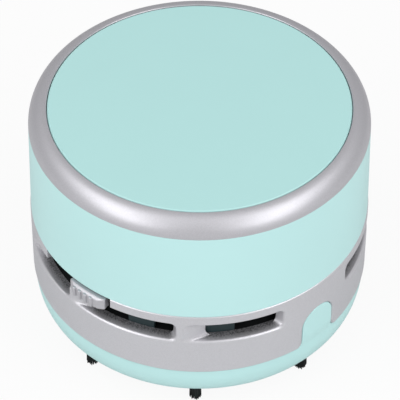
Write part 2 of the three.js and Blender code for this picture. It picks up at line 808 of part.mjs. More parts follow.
function switchWiper() {
  const outer = carrierOuter - seatGap;
  return sector(knobAzimuth, wiperHalfAngle, outer - stripWidth, outer, carrierTopZ, switchStripZ - seatGap);
}

// Motor can with its nose through the deck, a blind bore for the shaft and two screw holes
function motorCan() {
  const profile = new THREE.Path();
  profile.moveTo(0, deckTopZ - motorNoseHeight);
  profile.lineTo(motorNose, deckTopZ - motorNoseHeight);
  profile.lineTo(motorNose, deckTopZ);
  profile.lineTo(motorRadius - canEdge, deckTopZ);
  profile.absarc(motorRadius - canEdge, deckTopZ + canEdge, canEdge, -Math.PI / 2, 0, false);
  profile.lineTo(motorRadius, canTopZ);
  profile.lineTo(0, canTopZ);
  const noseZ = deckTopZ - motorNoseHeight - cutOver;
  const bore = ring(0, shaftRadius + shaftRun, noseZ, shaftTopZ + seatGap, smallSegments);
  const holeTopZ = deckZ + screwLength + seatGap;
  const holes = screwHoles(motorScrewCount, motorScrewCircle, deckTopZ - cutOver, holeTopZ);
  return cut(turned(profile, plainSegments), [bore, ...holes]);
}

function motorEndCap() {
  const profile = new THREE.Path();
  profile.moveTo(0, canTopZ);
  profile.lineTo(endCapRadius, canTopZ);
  profile.lineTo(endCapRadius, canTopZ + endCapHeight / 2);
  profile.lineTo(motorNose, canTopZ + endCapHeight);
  profile.lineTo(0, canTopZ + endCapHeight);
  const slots = [-1, 1].map((side) => motorTerminalBlock(side, terminalSlack, endCapHeight));
  return cut(turned(profile, plainSegments), slots);
}

// The space of one flat terminal, which stands in a slot of the end cap
function motorTerminalBlock(side, slack, depth) {
  const middle = side * terminal.offset;
  const halfThickness = terminal.thickness / 2 + slack;
  const halfWidth = terminal.width / 2 + slack;
  const footZ = canTopZ + endCapHeight - depth / 2;
  return block(middle - halfThickness, middle + halfThickness, -halfWidth, halfWidth,
    footZ - slack, footZ + terminal.height);
}

// Bay for two cells on either side of the motor: two troughs, end walls and a tower round the can
function batteryCradle() {
  const length = cradleEnd + cradleEndWall;
  const tower = ring(0, towerInner + towerWall, deckTopZ, canTopZ, plainSegments);
  const trough = (side) => {
    const geometry = new THREE.CylinderGeometry(troughRadius, troughRadius, 2 * cradleEnd, plainSegments);
    geometry.rotateZ(Math.PI / 2);
    geometry.translate(0, side * cellSpacing, cellAxisZ);
    return solidOf(geometry);
  };
  const walls = [-1, 1].map((side) =>
    block(Math.min(side * cradleEnd, side * length), Math.max(side * cradleEnd, side * length),
      -cradleSide, cradleSide, cradleFootZ, endWallTopZ));
  const bed = block(-length, length, -cradleSide, cradleSide, cradleFootZ, cradleTopZ);
  const body = joined([bed, tower, ...walls]);
  const outline = ring(0, deckRadius - seatGap, deckTopZ - cutOver, topZ, plainSegments);
  const well = ring(0, towerInner, deckTopZ - cutOver, topZ, plainSegments);
  const slots = [-1, 1].map((end) => endContact(end, -contactReach, contactReach, contactSlack));
  return cut(body.intersect(outline), [trough(-1), trough(1), well, ...slots]);
}

// A cell lying along X; side +1 has its nub towards +X
function batteryCell(side) {
  const half = cellLength / 2;
  const profile = new THREE.Path();
  profile.moveTo(0, -half);
  profile.lineTo(cellRadius - cellEdge, -half);
  profile.absarc(cellRadius - cellEdge, -half + cellEdge, cellEdge, -Math.PI / 2, 0, false);
  profile.lineTo(cellRadius, half - cellEdge);
  profile.absarc(cellRadius - cellEdge, half - cellEdge, cellEdge, 0, Math.PI / 2, false);
  profile.lineTo(nubRadius, half);
  profile.lineTo(nubRadius, half + nubHeight);
  profile.lineTo(0, half + nubHeight);
  const geometry = new THREE.LatheGeometry(profile.getPoints(1), cellSegments);
  geometry.rotateZ((-side * Math.PI) / 2);
  geometry.translate(0, side * cellSpacing, cellAxisZ);
  return solidOf(geometry);
}

// Flat contact on an end wall; the bridge spans both cells at the +X end
function endContact(end, fromY, toY, slack = 0) {
  const wall = end * cradleEnd;
  const face = end * (cradleEnd - contact.thickness - slack);
  return block(Math.min(wall, face), Math.max(wall, face), fromY - slack, toY + slack,
    cellAxisZ - contact.height / 2 - slack, cellAxisZ + contact.height / 2 + slack);
}

class ConeHelix extends THREE.Curve {
  constructor(end, side) {
    super();
    this.end = end;
    this.side = side;
  }

  getPoint(t, target = new THREE.Vector3()) {
    const angle = 2 * Math.PI * springTurns * t;
    const radius = springRadius + (springTipRadius - springRadius) * t;
    const wallSide = cradleEnd - contact.thickness - springSlack - springWire;
    const cellSide = cellEnd + springSlack + springWire;
    const x = this.end * (wallSide + (cellSide - wallSide) * t);
    const y = this.side * cellSpacing + radius * Math.cos(angle);
    return target.set(x, y, cellAxisZ + radius * Math.sin(angle));
  }
}

function sweep(curve, radius, steps) {
  const section = new THREE.Shape();
  section.absarc(0, 0, radius, 0, 2 * Math.PI, false);
  const options = { extrudePath: curve, steps, curveSegments: wireSides / 2, bevelEnabled: false };
  return solidOf(new THREE.ExtrudeGeometry(section, options));
}

// A place in a wire hole at a height
function holePlace(azimuth, z) {
  const spin = radians(azimuth);
  return new THREE.Vector3(wireCircle * Math.sin(spin), -wireCircle * Math.cos(spin), z);
}

// Leads: from the negative contact to the motor, from the motor to the switch, and from the
// positive contact to the switch. Each is clipped inside the housing along its whole length.
function leadMinus() {
  const outside = cradleEnd - contact.thickness - wireRadius;
  const overTab = canTopZ + endCapHeight + wireRadius;
  return [
    new THREE.Vector3(-outside, cellSpacing - contact.width / 2 - wireRadius, cellAxisZ + cradleTopDrop),
    new THREE.Vector3(-outside + wireRadius / 2, cellSpacing / 2, cellAxisZ + cradleEndRise),
    new THREE.Vector3(-towerInner - 2 * wireRadius, cellSpacing / 4, canTopZ + wireRadius * 3),
    new THREE.Vector3(-terminal.offset - terminal.height, 0, overTab),
    new THREE.Vector3(-terminal.offset - terminal.thickness / 2 - wireRadius, 0, overTab),
  ];
}

function leadMotor() {
  const outside = cradleEnd + cradleEndWall + 2 * wireRadius;
  const overTab = canTopZ + endCapHeight + wireRadius;
  const end = holePlace(wireAzimuths[1], deckZ + seatGap);
  return [
    new THREE.Vector3(terminal.offset + terminal.thickness / 2 + wireRadius, 0, overTab),
    new THREE.Vector3(terminal.offset + terminal.height, -terminal.width, overTab),
    new THREE.Vector3(0, -endCapRadius, overTab),
    new THREE.Vector3(-towerInner, -endCapRadius + terminal.width, canTopZ + wireRadius * 3),
    new THREE.Vector3(-cellEnd, -cellSpacing / 2.5, endWallTopZ + 1.6 * wireRadius),
    new THREE.Vector3(-outside, -cellSpacing / 2.4, endWallTopZ + 1.7 * wireRadius),
    new THREE.Vector3(-outside - wireRadius, -cellSpacing / 2, cellAxisZ),
    new THREE.Vector3(-outside, -cellSpacing / 1.6, cradleFootZ),
    new THREE.Vector3(-cradleEnd, -cellSpacing, cradleFootZ - wireRadius * 5),
    end.clone().setZ(deckTopZ + 3 * wireRadius),
    end.clone().setZ(deckTopZ),
    end,
  ];
}

function leadPlus() {
  const inside = cradleEnd - contact.thickness - wireRadius;
  const outside = cradleEnd + cradleEndWall + 2 * wireRadius;
  const end = holePlace(wireAzimuths[0], deckZ + seatGap);
  const side = cellSpacing - contact.width / 2 - wireRadius;
  return [
    new THREE.Vector3(-inside, -side, cellAxisZ + cradleTopDrop),
    new THREE.Vector3(-cradleEnd, -side + 3 * wireRadius, endWallTopZ + 3 * wireRadius),
    new THREE.Vector3(-outside, -side + 2 * wireRadius, endWallTopZ + 2 * wireRadius),
    new THREE.Vector3(-outside - wireRadius, -side, cellAxisZ - cradleTopDrop),
    new THREE.Vector3(-outside - 2 * wireRadius, -side, cradleFootZ - cradleTopDrop),
    end.clone().setZ(deckTopZ + 3 * wireRadius),
    end.clone().setZ(deckTopZ),
    end,
  ];
}

function lead(points) {
  return sweep(new THREE.CatmullRomCurve3(points), wireRadius, leadSteps);
}

// Pan-head screw driven upwards, its head against a face
function screw(circle, azimuth, faceZ) {
  const profile = new THREE.Path();
  profile.moveTo(0, faceZ - screwHead.height);
  profile.lineTo(screwHead.radius, faceZ - screwHead.height);
  profile.lineTo(screwHead.radius, faceZ);
  profile.lineTo(screwRadius, faceZ);
  profile.lineTo(screwRadius, faceZ + screwLength);
  profile.lineTo(0, faceZ + screwLength);
  return turnedAt(profile, circle, azimuth);
}

function addScrews(name, count, circle, faceZ) {
  for (let i = 0; i < count; i += 1) {
    addPart(`${name}_${i + 1}`, screw(circle, aroundDegrees(i, count), faceZ), steel);
  }
}

addPart('dust_tray', dustTray(), mint);
for (let i = 0; i < tuftCount; i += 1) {
  addPart(`bristle_tuft_${i + 1}`, tuft(aroundDegrees(i, tuftCount)), bristle);
}
addPart('vent_band', ventBand(), silver);
addPart('upper_shell', upperShell(), mint);
addPart('lid_ring', lidRing(), silver);
addPart('top_disc', topDisc(), mint);
addPart('chassis', chassis(), black);
addPart('fan_plate', fanPlate(), black);
addPart('filter_frame', filterFrame(), whitePart);
addPart('filter_gauze', filterGauze(), gauze);
addPart('switch_guide', switchGuide(), black);
addPart('switch_knob', switchKnob(), silver);
addPart('switch_carrier', switchCarrier(), black);
addPart('switch_wiper', switchWiper(), brass);
switchStrips.forEach((strip, i) => addPart(`switch_contact_${i + 1}`, switchStrip(strip), brass));
addPart('impeller', impeller(), black);
addPart('motor_shaft', ring(0, shaftRadius, bladeFootZ + runGap, shaftTopZ, smallSegments), steel);
addPart('motor_can', motorCan(), steel);
addPart('motor_end_cap', motorEndCap(), whitePart);
addPart('motor_terminal_1', motorTerminalBlock(-1, 0, endCapHeight), brass);
addPart('motor_terminal_2', motorTerminalBlock(1, 0, endCapHeight), brass);
addPart('battery_cradle', batteryCradle(), black);
addPart('battery_cell_1', batteryCell(1), cellWrap);
addPart('battery_cell_2', batteryCell(-1), cellWrap);
addPart('contact_bridge', endContact(1, -contactReach, contactReach), brass);
addPart('contact_plate_minus', endContact(-1, contactFoot, contactReach), brass);
addPart('contact_plate_plus', endContact(-1, -contactReach, -contactFoot), brass);
addPart('contact_spring_1', sweep(new ConeHelix(-1, 1), springWire, springSteps), steel);
addPart('contact_spring_2', sweep(new ConeHelix(1, -1), springWire, springSteps), steel);
addPart('lead_minus', lead(leadMinus()), blackLead);
addPart('lead_motor', lead(leadMotor()), blackLead);
addPart('lead_plus', lead(leadPlus()), redLead);
addScrews('deck_screw', bossCount, bossCircle, deckZ);
addScrews('plate_screw', plateScrewCount, plateScrewCircle, plateZ);
addScrews('motor_screw', motorScrewCount, motorScrewCircle, deckZ);

export default object;
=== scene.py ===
"""Round desk vacuum cleaner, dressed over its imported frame.

Every length is in metres. Azimuths are degrees from -Y towards +X, as seen from above.
Pieces that run round the housing are modelled flat, as a strip of arc length, depth and
height, and then wrapped round the axis.
"""

import math
import random

import bmesh
import bpy
from mathutils import Matrix, Vector


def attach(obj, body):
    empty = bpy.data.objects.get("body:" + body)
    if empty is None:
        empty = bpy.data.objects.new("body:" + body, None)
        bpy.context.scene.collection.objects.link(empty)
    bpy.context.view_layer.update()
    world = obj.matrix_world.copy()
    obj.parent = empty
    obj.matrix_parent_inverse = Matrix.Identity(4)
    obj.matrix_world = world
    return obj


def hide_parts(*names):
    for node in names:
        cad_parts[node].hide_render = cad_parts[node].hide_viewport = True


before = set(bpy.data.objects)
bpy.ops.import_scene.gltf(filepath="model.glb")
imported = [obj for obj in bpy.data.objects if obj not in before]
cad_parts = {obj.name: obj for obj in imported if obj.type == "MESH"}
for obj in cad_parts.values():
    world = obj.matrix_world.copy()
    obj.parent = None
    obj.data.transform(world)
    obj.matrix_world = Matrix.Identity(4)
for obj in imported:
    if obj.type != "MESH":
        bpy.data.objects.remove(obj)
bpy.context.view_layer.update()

bl_info = {
    "name": "Desk vacuum cleaner",
    "version": (1, 0, 0),
    "blender": (4, 5, 0),
    "location": "3D View > Sidebar > Vacuum",
    "description": "Models and finishes a round desk vacuum cleaner",
    "category": "Object",
}

MM = 0.001
TURN = 2 * math.pi

# Distances within which corners are taken for one, as a rule and in the flat cutters
CLOSE = 1e-6
CLOSER = 1e-7

# Heights of the outer pieces
UNDERSIDE = 5.2 * MM
TRAY_FLOOR = 6.8 * MM
TRAY_RIM = 14.6 * MM
CHIMNEY_TOP = 17.4 * MM
SPIGOT_TOP = 19.4 * MM
LEG_FOOT = 25.4 * MM
SHELF_FOOT = 25.63 * MM
VENT_SILL = 25.8 * MM
VENT_TOP = 31.6 * MM
SLOT_FOOT = 29.75 * MM
KNOB_FOOT = 30.05 * MM
RIB_TOP = 33.1 * MM
KNOB_TOP = 33.45 * MM
LEDGE = 33.75 * MM
LIP_TOP = 34.55 * MM
DECK_TOP = 36.45 * MM
BOSS_TOP = 45.4 * MM
SKIRT_FOOT = 56.75 * MM
SHELL_TOP = 60.75 * MM
RING_FOOT = 62.55 * MM
DISC_FOOT = 63.95 * MM
TOP = 65.55 * MM

# The band starts and ends at its seam
BAND_SEAM = -82.5

# Vents of one half of the band, as azimuths of the square end, the clear end and the ramp's tip
HALF_VENTS = (
    (-121.0, -92.8, -85.3), (-48.0, -72.3, -79.8),
    (-6.8, -39.9, -47.6), (29.95, 2.8, -4.7),
)
# The share of a vent's length where its ramp begins, how fast the ramp sinks, how far the square
# end leans in, and how far the lower corners are drawn out, at the square end and at the ramp
RAMP_START = 0.5
RAMP_FALL = 0.75
SQUARE_LEAN = 1.1 * MM
CORNER_PULLS = (0.12, -0.8)

# Depths in millimetres below the face at which the flat cutters have loops of edges
VENT_LAYERS = (-0.01, 0.014, 0.055, 0.12, 0.21, 0.32, 0.45, 0.6, 0.8, 1.1, 1.5, 2.0, 2.5)
SLOT_LAYERS = (-0.01, 0.02, 0.06, 0.12, 0.2, 0.3)
ARCH_LAYERS = (-0.01, 0.01, 0.04, 0.09, 0.16, 0.25, 0.36, 0.5)

# Arches for the tray's tongues: half their width, the height of their straight sides, and the
# width and drop of the flare at their foot
ARCH_AZIMUTHS = (44.6, 224.6)
ARCH_HALF = 5.3 * MM
ARCH_RISE = 6.15 * MM
ARCH_FLARE = 2.0 * MM
ARCH_DROP = 0.3 * MM

# Shelves behind the sills of one half's vents, and all the shell's legs behind the vents, as
# azimuths of the middle and half spans
SHELVES = ((-61.5, 11.8), (-24.0, 15.5), (15.4, 13.0))
SHELF_INNER = 39.7 * MM
LEGS = ((-20.5, 5.0), (7.6, 5.8), (159.5, 5.0), (187.6, 5.8))
LEG_INNER = 38.2 * MM
LEG_OUTER = 39.66 * MM

# The shell's screw bosses: their circle, their hole, and how far out ribs tie them to the wall
BOSS_RING = 35 * MM
BOSS_HOLE = 1.45 * MM
RIB_REACH = 41.4 * MM

# The slide switch: its slot and knob, half spans of the knob's plate and raised grip in degrees,
# how far the grip stands out and its share of the plate's height, and the row of ribs on it
SLOT_AZIMUTHS = (-61.6, -30.0)
KNOB_AZIMUTH = -39.6
KNOB_HALF = 7.6
GRIP_HALF = 5.1
GRIP_RISE = 0.8 * MM
GRIP_SHARE = 0.86
RIBS = 4
RIB_MIDDLE = 1.85
RIB_STEP = 1.75 * MM
RIB_RADIUS = 0.52 * MM

# Tufts under the tray, and the bristles of one tuft with their spread in millimetres at the
# root and the tip and the angle from each to the next
TUFTS = 8
TUFT_TURN = -0.7
TUFT_RING = 37.7 * MM
BRISTLES = 150
BRISTLE_LENGTH = 8.0 * MM
ROOT_SPREAD = 1.38
TIP_SPREAD = 1.5
GOLDEN_ANGLE = 2.39996

TRAY_WALL = 1.6 * MM

# The cells: half their length, their radius, that of the nub, and the axis of the first
CELL_HALF = 24.7 * MM
CELL_RADIUS = 7.2 * MM
NUB_RADIUS = 2.75 * MM
CELL_AXIS = Vector((0, 20.9 * MM, 52.35 * MM))

# The stage: lamps left and right, floor and surroundings, and the camera, with angles in degrees
LAMP_PLACE = (0.63, -0.44, 0.68)
LAMP_TARGET = (0, 0, 0.035)
LAMP_SPANS = (0.45, 1.5)
LAMP_WATTS = 9.1
LAMP_LEAN = -32
FLOOR_TONE = (0.6, 0.6, 0.6, 1)
FLOOR_GLOW = 0.92
ROOM_LIGHT = 0.4
CAMERA_TARGET = Vector((0, 0, 0.03241))
CAMERA_DISTANCE = 0.65
CAMERA_RISE = 44.52
CAMERA_TURN = 0.6
CAMERA_ROLL = 0.18
CAMERA_LENS = 229.19
CAMERA_SHIFT = 0.0016


def size(name, description, millimetres):
    """A length that a user can change."""
    return bpy.props.FloatProperty(
        name=name, description=description, default=millimetres * MM, min=0, precision=5, unit="LENGTH"
    )


def tint(name, description, red, green, blue):
    """A linear colour that a user can change."""
    return bpy.props.FloatVectorProperty(
        name=name, description=description, default=(red, green, blue), min=0, max=1, subtype="COLOR"
    )


class VacuumSizes(bpy.types.PropertyGroup):
    """Sizes of the cleaner's outer pieces."""

    band_radius: size("Band radius", "Outer radius of the vent band", 43.0)
    band_wall: size("Band wall", "Thickness of the vent band", 2.5)
    lip_wall: size("Lip wall", "Thickness of the lip that laps the upper shell", 0.5)
    band_edge: size("Band edge", "Rounding of the band's lower edge and its arches", 0.5)
    vent_edge: size("Vent edge", "Rounding of the upper edge and ends of the vents", 0.45)
    sill_edge: size("Sill edge", "Rounding of the lower edge of the vents", 0.62)
    vent_corner: size("Vent corner", "Rounding of the corners of the vents", 1.8)
    tray_radius: size("Tray radius", "Outer radius of the dust tray", 42.6)
    tray_edge: size("Tray edge", "How far the tray's wall curves in at its underside", 3.4)
    tray_rise: size("Tray rise", "Height of that curve", 7.6)
    tongue_seam: size("Tongue seam", "Gap between a tongue of the tray and its arch", 0.07)
    tongue_depth: size("Tongue depth", "How far the tongues lie behind the face of the band", 0.12)
    shell_radius: size("Shell radius", "Outer radius of the upper shell at its foot", 42.85)
    shell_draft: size("Shell draft", "How much narrower the upper shell is at its top", 0.45)
    disc_radius: size("Disc radius", "Radius of the disc in the lid", 37.6)
    disc_edge: size("Disc edge", "Rounding of the disc's rim", 0.45)
    disc_groove: size("Disc groove", "Gap between the disc and its ring", 0.16)
    knob_edge: size("Knob edge", "Rounding of the switch knob's edges", 0.3)
    bristle_width: size("Bristle width", "Thickness of one bristle", 0.28)


class VacuumColours(bpy.types.PropertyGroup):
    """Colours of the cleaner's finishes."""

    mint: tint("Mint", "Moulded plastic of the shell and tray", 0.448, 0.692, 0.687)
    disc: tint("Disc", "Moulded plastic of the disc in the lid", 0.365, 0.588, 0.578)
    silver: tint("Silver", "Paint of the lid ring and the switch knob", 0.475, 0.47, 0.5)
    # The band's paint is the silver paint of the ring made lighter: painted light, as the band's upright face
    # gets less light than the ring.
    band: tint("Band", "Paint of the vent band", 0.565, 0.56, 0.59)
    # The shell's mint plastic made nearly black, as painted shade: the legs stand in the shade behind the
    # vents.
    smoked: tint("Smoked plastic", "Legs of the shell behind the vents", 0.022, 0.037, 0.041)
    works: tint("Works", "Plastic of the chassis, fan and cell bay", 0.008, 0.009, 0.010)
    bristle: tint("Bristle", "Nylon of the bristle tufts", 0.008, 0.010, 0.011)
    pale: tint("Pale plastic", "Plastic of the filter frame and motor cap", 0.74, 0.74, 0.71)
    gauze: tint("Gauze", "Woven gauze of the filter", 0.72, 0.72, 0.67)
    sleeve: tint("Cell sleeve", "Shrunk sleeve of the cells", 0.03, 0.09, 0.22)


def chosen(context):
    """The sizes and colours that the user has chosen."""
    return context.scene.vacuum_sizes, context.scene.vacuum_colours


# Modelling


def nothing_selected():
    """Leaves edit mode and deselects every object."""
    if bpy.context.object and bpy.context.object.mode != "OBJECT":
        bpy.ops.object.mode_set(mode="OBJECT")
    bpy.ops.object.select_all(action="DESELECT")


def only(piece):
    """Selects one piece and makes it active."""
    nothing_selected()
    piece.select_set(True)
    bpy.context.view_layer.objects.active = piece


def edited(piece, mode="VERT"):
    """Opens a piece in edit mode with everything selected."""
    only(piece)
    bpy.ops.object.mode_set(mode="EDIT")
    bpy.ops.mesh.select_mode(type=mode)
    bpy.ops.mesh.select_all(action="SELECT")


def select_where(piece, kind, test):
    """Selects, in edit mode, the faces, edges or vertices of a piece that pass a test."""
    mesh = bmesh.from_edit_mesh(piece.data)
    for group in (mesh.faces, mesh.edges, mesh.verts):
        for item in group:
            item.select = False
    for item in getattr(mesh, kind):
        if test(item):
            item.select_set(True)
    mesh.select_flush_mode()
    bmesh.update_edit_mesh(piece.data)


def sliced(places, normal, threshold=CLOSE, **settings):
    """Cuts loops of edges, at some places, round the piece that is in edit mode."""
    for place in places:
        bpy.ops.mesh.select_all(action="SELECT")
        bpy.ops.mesh.bisect(plane_co=place, plane_no=normal, threshold=threshold, **settings)


def cleaned(piece, distance=CLOSE):
    """Merges doubles and turns the faces outwards."""
    edited(piece)
    bpy.ops.mesh.remove_doubles(threshold=distance)
    bpy.ops.mesh.dissolve_degenerate(threshold=distance)
    bpy.ops.mesh.select_all(action="SELECT")
    bpy.ops.mesh.normals_make_consistent(inside=False)
    bpy.ops.object.mode_set(mode="OBJECT")
    return piece


def applied(piece, kind, **settings):
    """Adds a modifier with its settings and applies it."""
    only(piece)
    modifier = piece.modifiers.new(kind.lower(), kind)
    for key, value in settings.items():
        setattr(modifier, key, value)
    bpy.ops.object.modifier_apply(modifier=modifier.name)


def smoothed(piece, angle, weighted):
    """Smooth shading up to an angle, with the large faces keeping their direction if weighted."""
    only(piece)
    bpy.ops.object.shade_smooth_by_angle(angle=math.radians(angle))
    if weighted:
        applied(piece, "WEIGHTED_NORMAL", keep_sharp=True)


def rounded(piece, width, segments, angle=20):
    """Rounds every edge that is sharper than an angle."""
    applied(
        piece, "BEVEL", width=width, segments=segments, limit_method="ANGLE",
        angle_limit=math.radians(angle), miter_outer="MITER_ARC", use_clamp_overlap=True,
    )


def cut(piece, cutters, operation="DIFFERENCE"):
    """Takes solids away from a piece, or adds them, and removes the solids."""
    for cutter in cutters:
        applied(piece, "BOOLEAN", object=cutter, operation=operation, solver="MANIFOLD")
        bpy.data.objects.remove(cutter)


def added(piece, solids):
    """Joins solids to a piece so that they share one skin."""
    cut(piece, solids, "UNION")


def joined(piece, others):
    """Puts several objects into one without cutting them."""
    only(piece)
    for other in others:
        other.select_set(True)
    bpy.ops.object.join()


def box(low, high):
    """A block between two corners."""
    nothing_selected()
    low, high = Vector(low), Vector(high)
    bpy.ops.mesh.primitive_cube_add(size=1, location=(low + high) / 2, scale=high - low)
    piece = bpy.context.object
    bpy.ops.object.transform_apply(location=True, rotation=True, scale=True)
    return piece


def drawn(points, closed=False):
    """A line of edges drawn corner by corner, or the face that it bounds."""
    nothing_selected()
    points = [Vector(point) for point in points]
    bpy.ops.mesh.primitive_plane_add(size=MM)
    piece = bpy.context.object
    edited(piece)
    bpy.ops.mesh.merge(type="CENTER")
    bpy.ops.mesh.select_all(action="SELECT")
    bpy.ops.transform.translate(value=points[0])
    for before, after in zip(points, points[1:]):
        bpy.ops.mesh.extrude_vertices_move(TRANSFORM_OT_translate={"value": after - before})
    if closed:
        bpy.ops.mesh.select_all(action="SELECT")
        bpy.ops.mesh.edge_face_add()
    bpy.ops.object.mode_set(mode="OBJECT")
    return piece


def extruded(outline, way):
    """A face with an outline, drawn out into a solid along a way."""
    piece = drawn(outline, closed=True)
    edited(piece, "FACE")
    bpy.ops.mesh.extrude_region_move(TRANSFORM_OT_translate={"value": way})
    return cleaned(piece)


def plate(outline, near, far):
    """A flat outline in arc length and height, given a thickness between two depths."""
    return extruded([(along, near, height) for along, height in outline], (0, far - near, 0))


def bar(section, start, end):
    """A strip along the arc length that has one section of depth and height all along."""
    return extruded([(start, depth, height) for depth, height in section], (end - start, 0, 0))


def softened(corners, steps):
    """Points of a profile whose corners are (radius, height, rounding)."""
    points = []
    for i, (x, y, rounding) in enumerate(corners):
        here = Vector((x, y))
        if rounding <= 0 or i in (0, len(corners) - 1):
            points.append(here)
            continue
        before = (Vector(corners[i - 1][:2]) - here).normalized()
        after = (Vector(corners[i + 1][:2]) - here).normalized()
        half = before.angle(after) / 2
        reach = rounding / math.tan(half)
        centre = here + (before + after).normalized() * (rounding / math.sin(half))
        start, end = here + before * reach - centre, here + after * reach - centre
        sweep = start.angle_signed(end)
        for step in range(steps + 1):
            turn = -sweep * step / steps
            points.append(centre + Vector((
                start.x * math.cos(turn) - start.y * math.sin(turn),
                start.x * math.sin(turn) + start.y * math.cos(turn),
            )))
    return points


def quarter(steps):
    """Cosine and sine of equal steps from none to a quarter of a turn."""
    turns = [math.pi / 2 * step / steps for step in range(steps + 1)]
    return [(math.cos(turn), math.sin(turn)) for turn in turns]


def turned(points, steps=180, centre=(0, 0), closed=True):
    """A profile of radius and height, spun round an upright axis."""
    profile = [(x, 0, z) for x, z in points]
    if closed:
        profile.append(profile[0])
    piece = drawn(profile)
    edited(piece)
    bpy.ops.mesh.spin(steps=steps, angle=TURN, center=(0, 0, 0), axis=(0, 0, 1))
    cleaned(piece)
    piece.data.transform(Matrix.Translation((centre[0], centre[1], 0)))
    return piece


def around(azimuth, radius, height=0.0):
    """A place at an azimuth and radius."""
    spin = math.radians(azimuth)
    return Vector((radius * math.sin(spin), -radius * math.cos(spin), height))


def arc(azimuth, radius):
    """The arc length from azimuth zero."""
    return math.radians(azimuth) * radius


def wrapped(piece, radius, outer=None, step=2.0):
    """Bends a flat strip round the axis, dividing it so that it follows the curve.

    outer gives the radius of the strip's face at a height, where the face isn't an upright
    wall of the given radius.
    """
    only(piece)
    reach = [vertex.co.x for vertex in piece.data.vertices]
    edited(piece)
    bpy.ops.mesh.quads_convert_to_tris()
    spacing = arc(step, radius)
    loops = range(math.ceil(min(reach) / spacing), math.floor(max(reach) / spacing) + 1)
    sliced([(i * spacing, 0, 0) for i in loops], (1, 0, 0))
    bpy.ops.object.mode_set(mode="OBJECT")
    for vertex in piece.data.vertices:
        along, depth, height = vertex.co
        face = outer(height) if outer else radius
        vertex.co = around(math.degrees(along / radius), face - depth, height)
    return cleaned(piece)


def finished(piece, name, body, material, replaces=(), angle=35, weighted=True):
    """Smooths and names a piece, gives it its finish and fastens it to its body."""
    smoothed(piece, angle, weighted)
    piece.name = name
    piece.data.name = name
    piece.data.materials.clear()
    piece.data.materials.append(material)
    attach(piece, body)
    if replaces:
        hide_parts(*replaces)
    nothing_selected()


# Finishes

GREY = (0.5, 0.5, 0.5, 1)
WHITE = (1, 1, 1, 1)
BARE_METAL = (0.55, 0.55, 0.56, 1)

# What several effects have in common: inputs with their values, and what two nodes are fed
TONES = {"Tone A": GREY, "Tone B": GREY}
ROUGHS = {"Rough Low": 0.3, "Rough High": 0.4}
BY_TONES = {"data_type": "RGBA", "A": "enter.Tone A", "B": "enter.Tone B"}
BY_ROUGHS = {"To Min": "enter.Rough Low", "To Max": "enter.Rough High"}


def feed(tree, node, values, known=None):
    """Gives a node its settings, in small letters, and what its inputs have: a value, or a link
    to another node's output, written as "node.output"."""
    for key, value in values.items():
        if str(key).islower():
            setattr(node, key, value)
        elif isinstance(value, str):
            source, output = value.split(".")
            tree.links.new(known[source].outputs[output], node.inputs[key])
        else:
            node.inputs[key].default_value = value


def wired(tree, nodes, last, results, **known):
    """Adds nodes to a tree, each with a name, a type and what it is fed, and feeds the last one."""
    for name, (kind, values) in nodes.items():
        known[name] = tree.nodes.new(f"ShaderNode{kind}")
        known[name].name = name
        feed(tree, known[name], values, known)
    feed(tree, last, results, known)


def effect(name, inputs, nodes, results):
    """A node group that several finishes can share, made the first time it is asked for."""
    if name in bpy.data.node_groups:
        return bpy.data.node_groups[name]
    group = bpy.data.node_groups.new(name, "ShaderNodeTree")
    for label, default in inputs.items():
        kind = "NodeSocketColor" if isinstance(default, tuple) else "NodeSocketFloat"
        group.interface.new_socket(label, in_out="INPUT", socket_type=kind).default_value = default
    for label in results:
        kind = "NodeSocketColor" if label == "Color" else "NodeSocketFloat"
        group.interface.new_socket(label, in_out="OUTPUT", socket_type=kind)
    enter, leave = group.nodes.new("NodeGroupInput"), group.nodes.new("NodeGroupOutput")
    place = group.nodes.new("ShaderNodeTexCoord")
    wired(group, nodes, leave, results, enter=enter, place=place)
    return group


def spanned(value, low, high, **span):
    """A node that spans a value from low to high."""
    return "MapRange", {"Value": value, "From Min": low, "From Max": high, **span}


def mould_skin():
    """Fine unevenness of a moulded or painted surface: a tone, a roughness and a height."""
    inputs = {**TONES, "Cloud Scale": 60.0, "Grain Scale": 2500.0, **ROUGHS}
    nodes = {
        "cloud": ("TexNoise", {"Vector": "place.Object", "Scale": "enter.Cloud Scale", "Detail": 3}),
        "grain": ("TexNoise", {"Vector": "place.Object", "Scale": "enter.Grain Scale", "Detail": 2}),
        "tone": ("Mix", {**BY_TONES, "Factor": "cloud.Fac"}),
        "rough": ("MapRange", {**BY_ROUGHS, "Value": "grain.Fac"}),
    }
    results = {"Color": "tone.Result", "Roughness": "rough.Result", "Height": "grain.Fac"}
    return effect("mould_skin", inputs, nodes, results)


def metal_flakes():
    """Tiny flakes in silver paint: a tone that flickers from flake to flake."""
    nodes = {
        "flake": ("TexVoronoi", {"Vector": "place.Object", "Scale": 7000}),
        "split": ("SeparateColor", {"Color": "flake.Color"}),
        "tone": ("Mix", {**BY_TONES, "Factor": "split.Red"}),
    }
    return effect("metal_flakes", TONES, nodes, {"Color": "tone.Result", "Height": "split.Green"})


def brushed_lines():
    """Fine lines left by drawing or turning, stretched along a piece's long direction."""
    nodes = {
        "stretch": ("VectorMath", {"operation": "MULTIPLY", 0: "place.Object", 1: (400, 400, 6000)}),
        "lines": ("TexNoise", {"Vector": "stretch.Vector", "Scale": 1, "Detail": 4}),
        "tone": ("Mix", {**BY_TONES, "Factor": "lines.Fac"}),
        "rough": ("MapRange", {**BY_ROUGHS, "Value": "lines.Fac"}),
    }
    results = {"Color": "tone.Result", "Roughness": "rough.Result", "Height": "lines.Fac"}
    return effect("brushed_lines", {**TONES, **ROUGHS}, nodes, results)


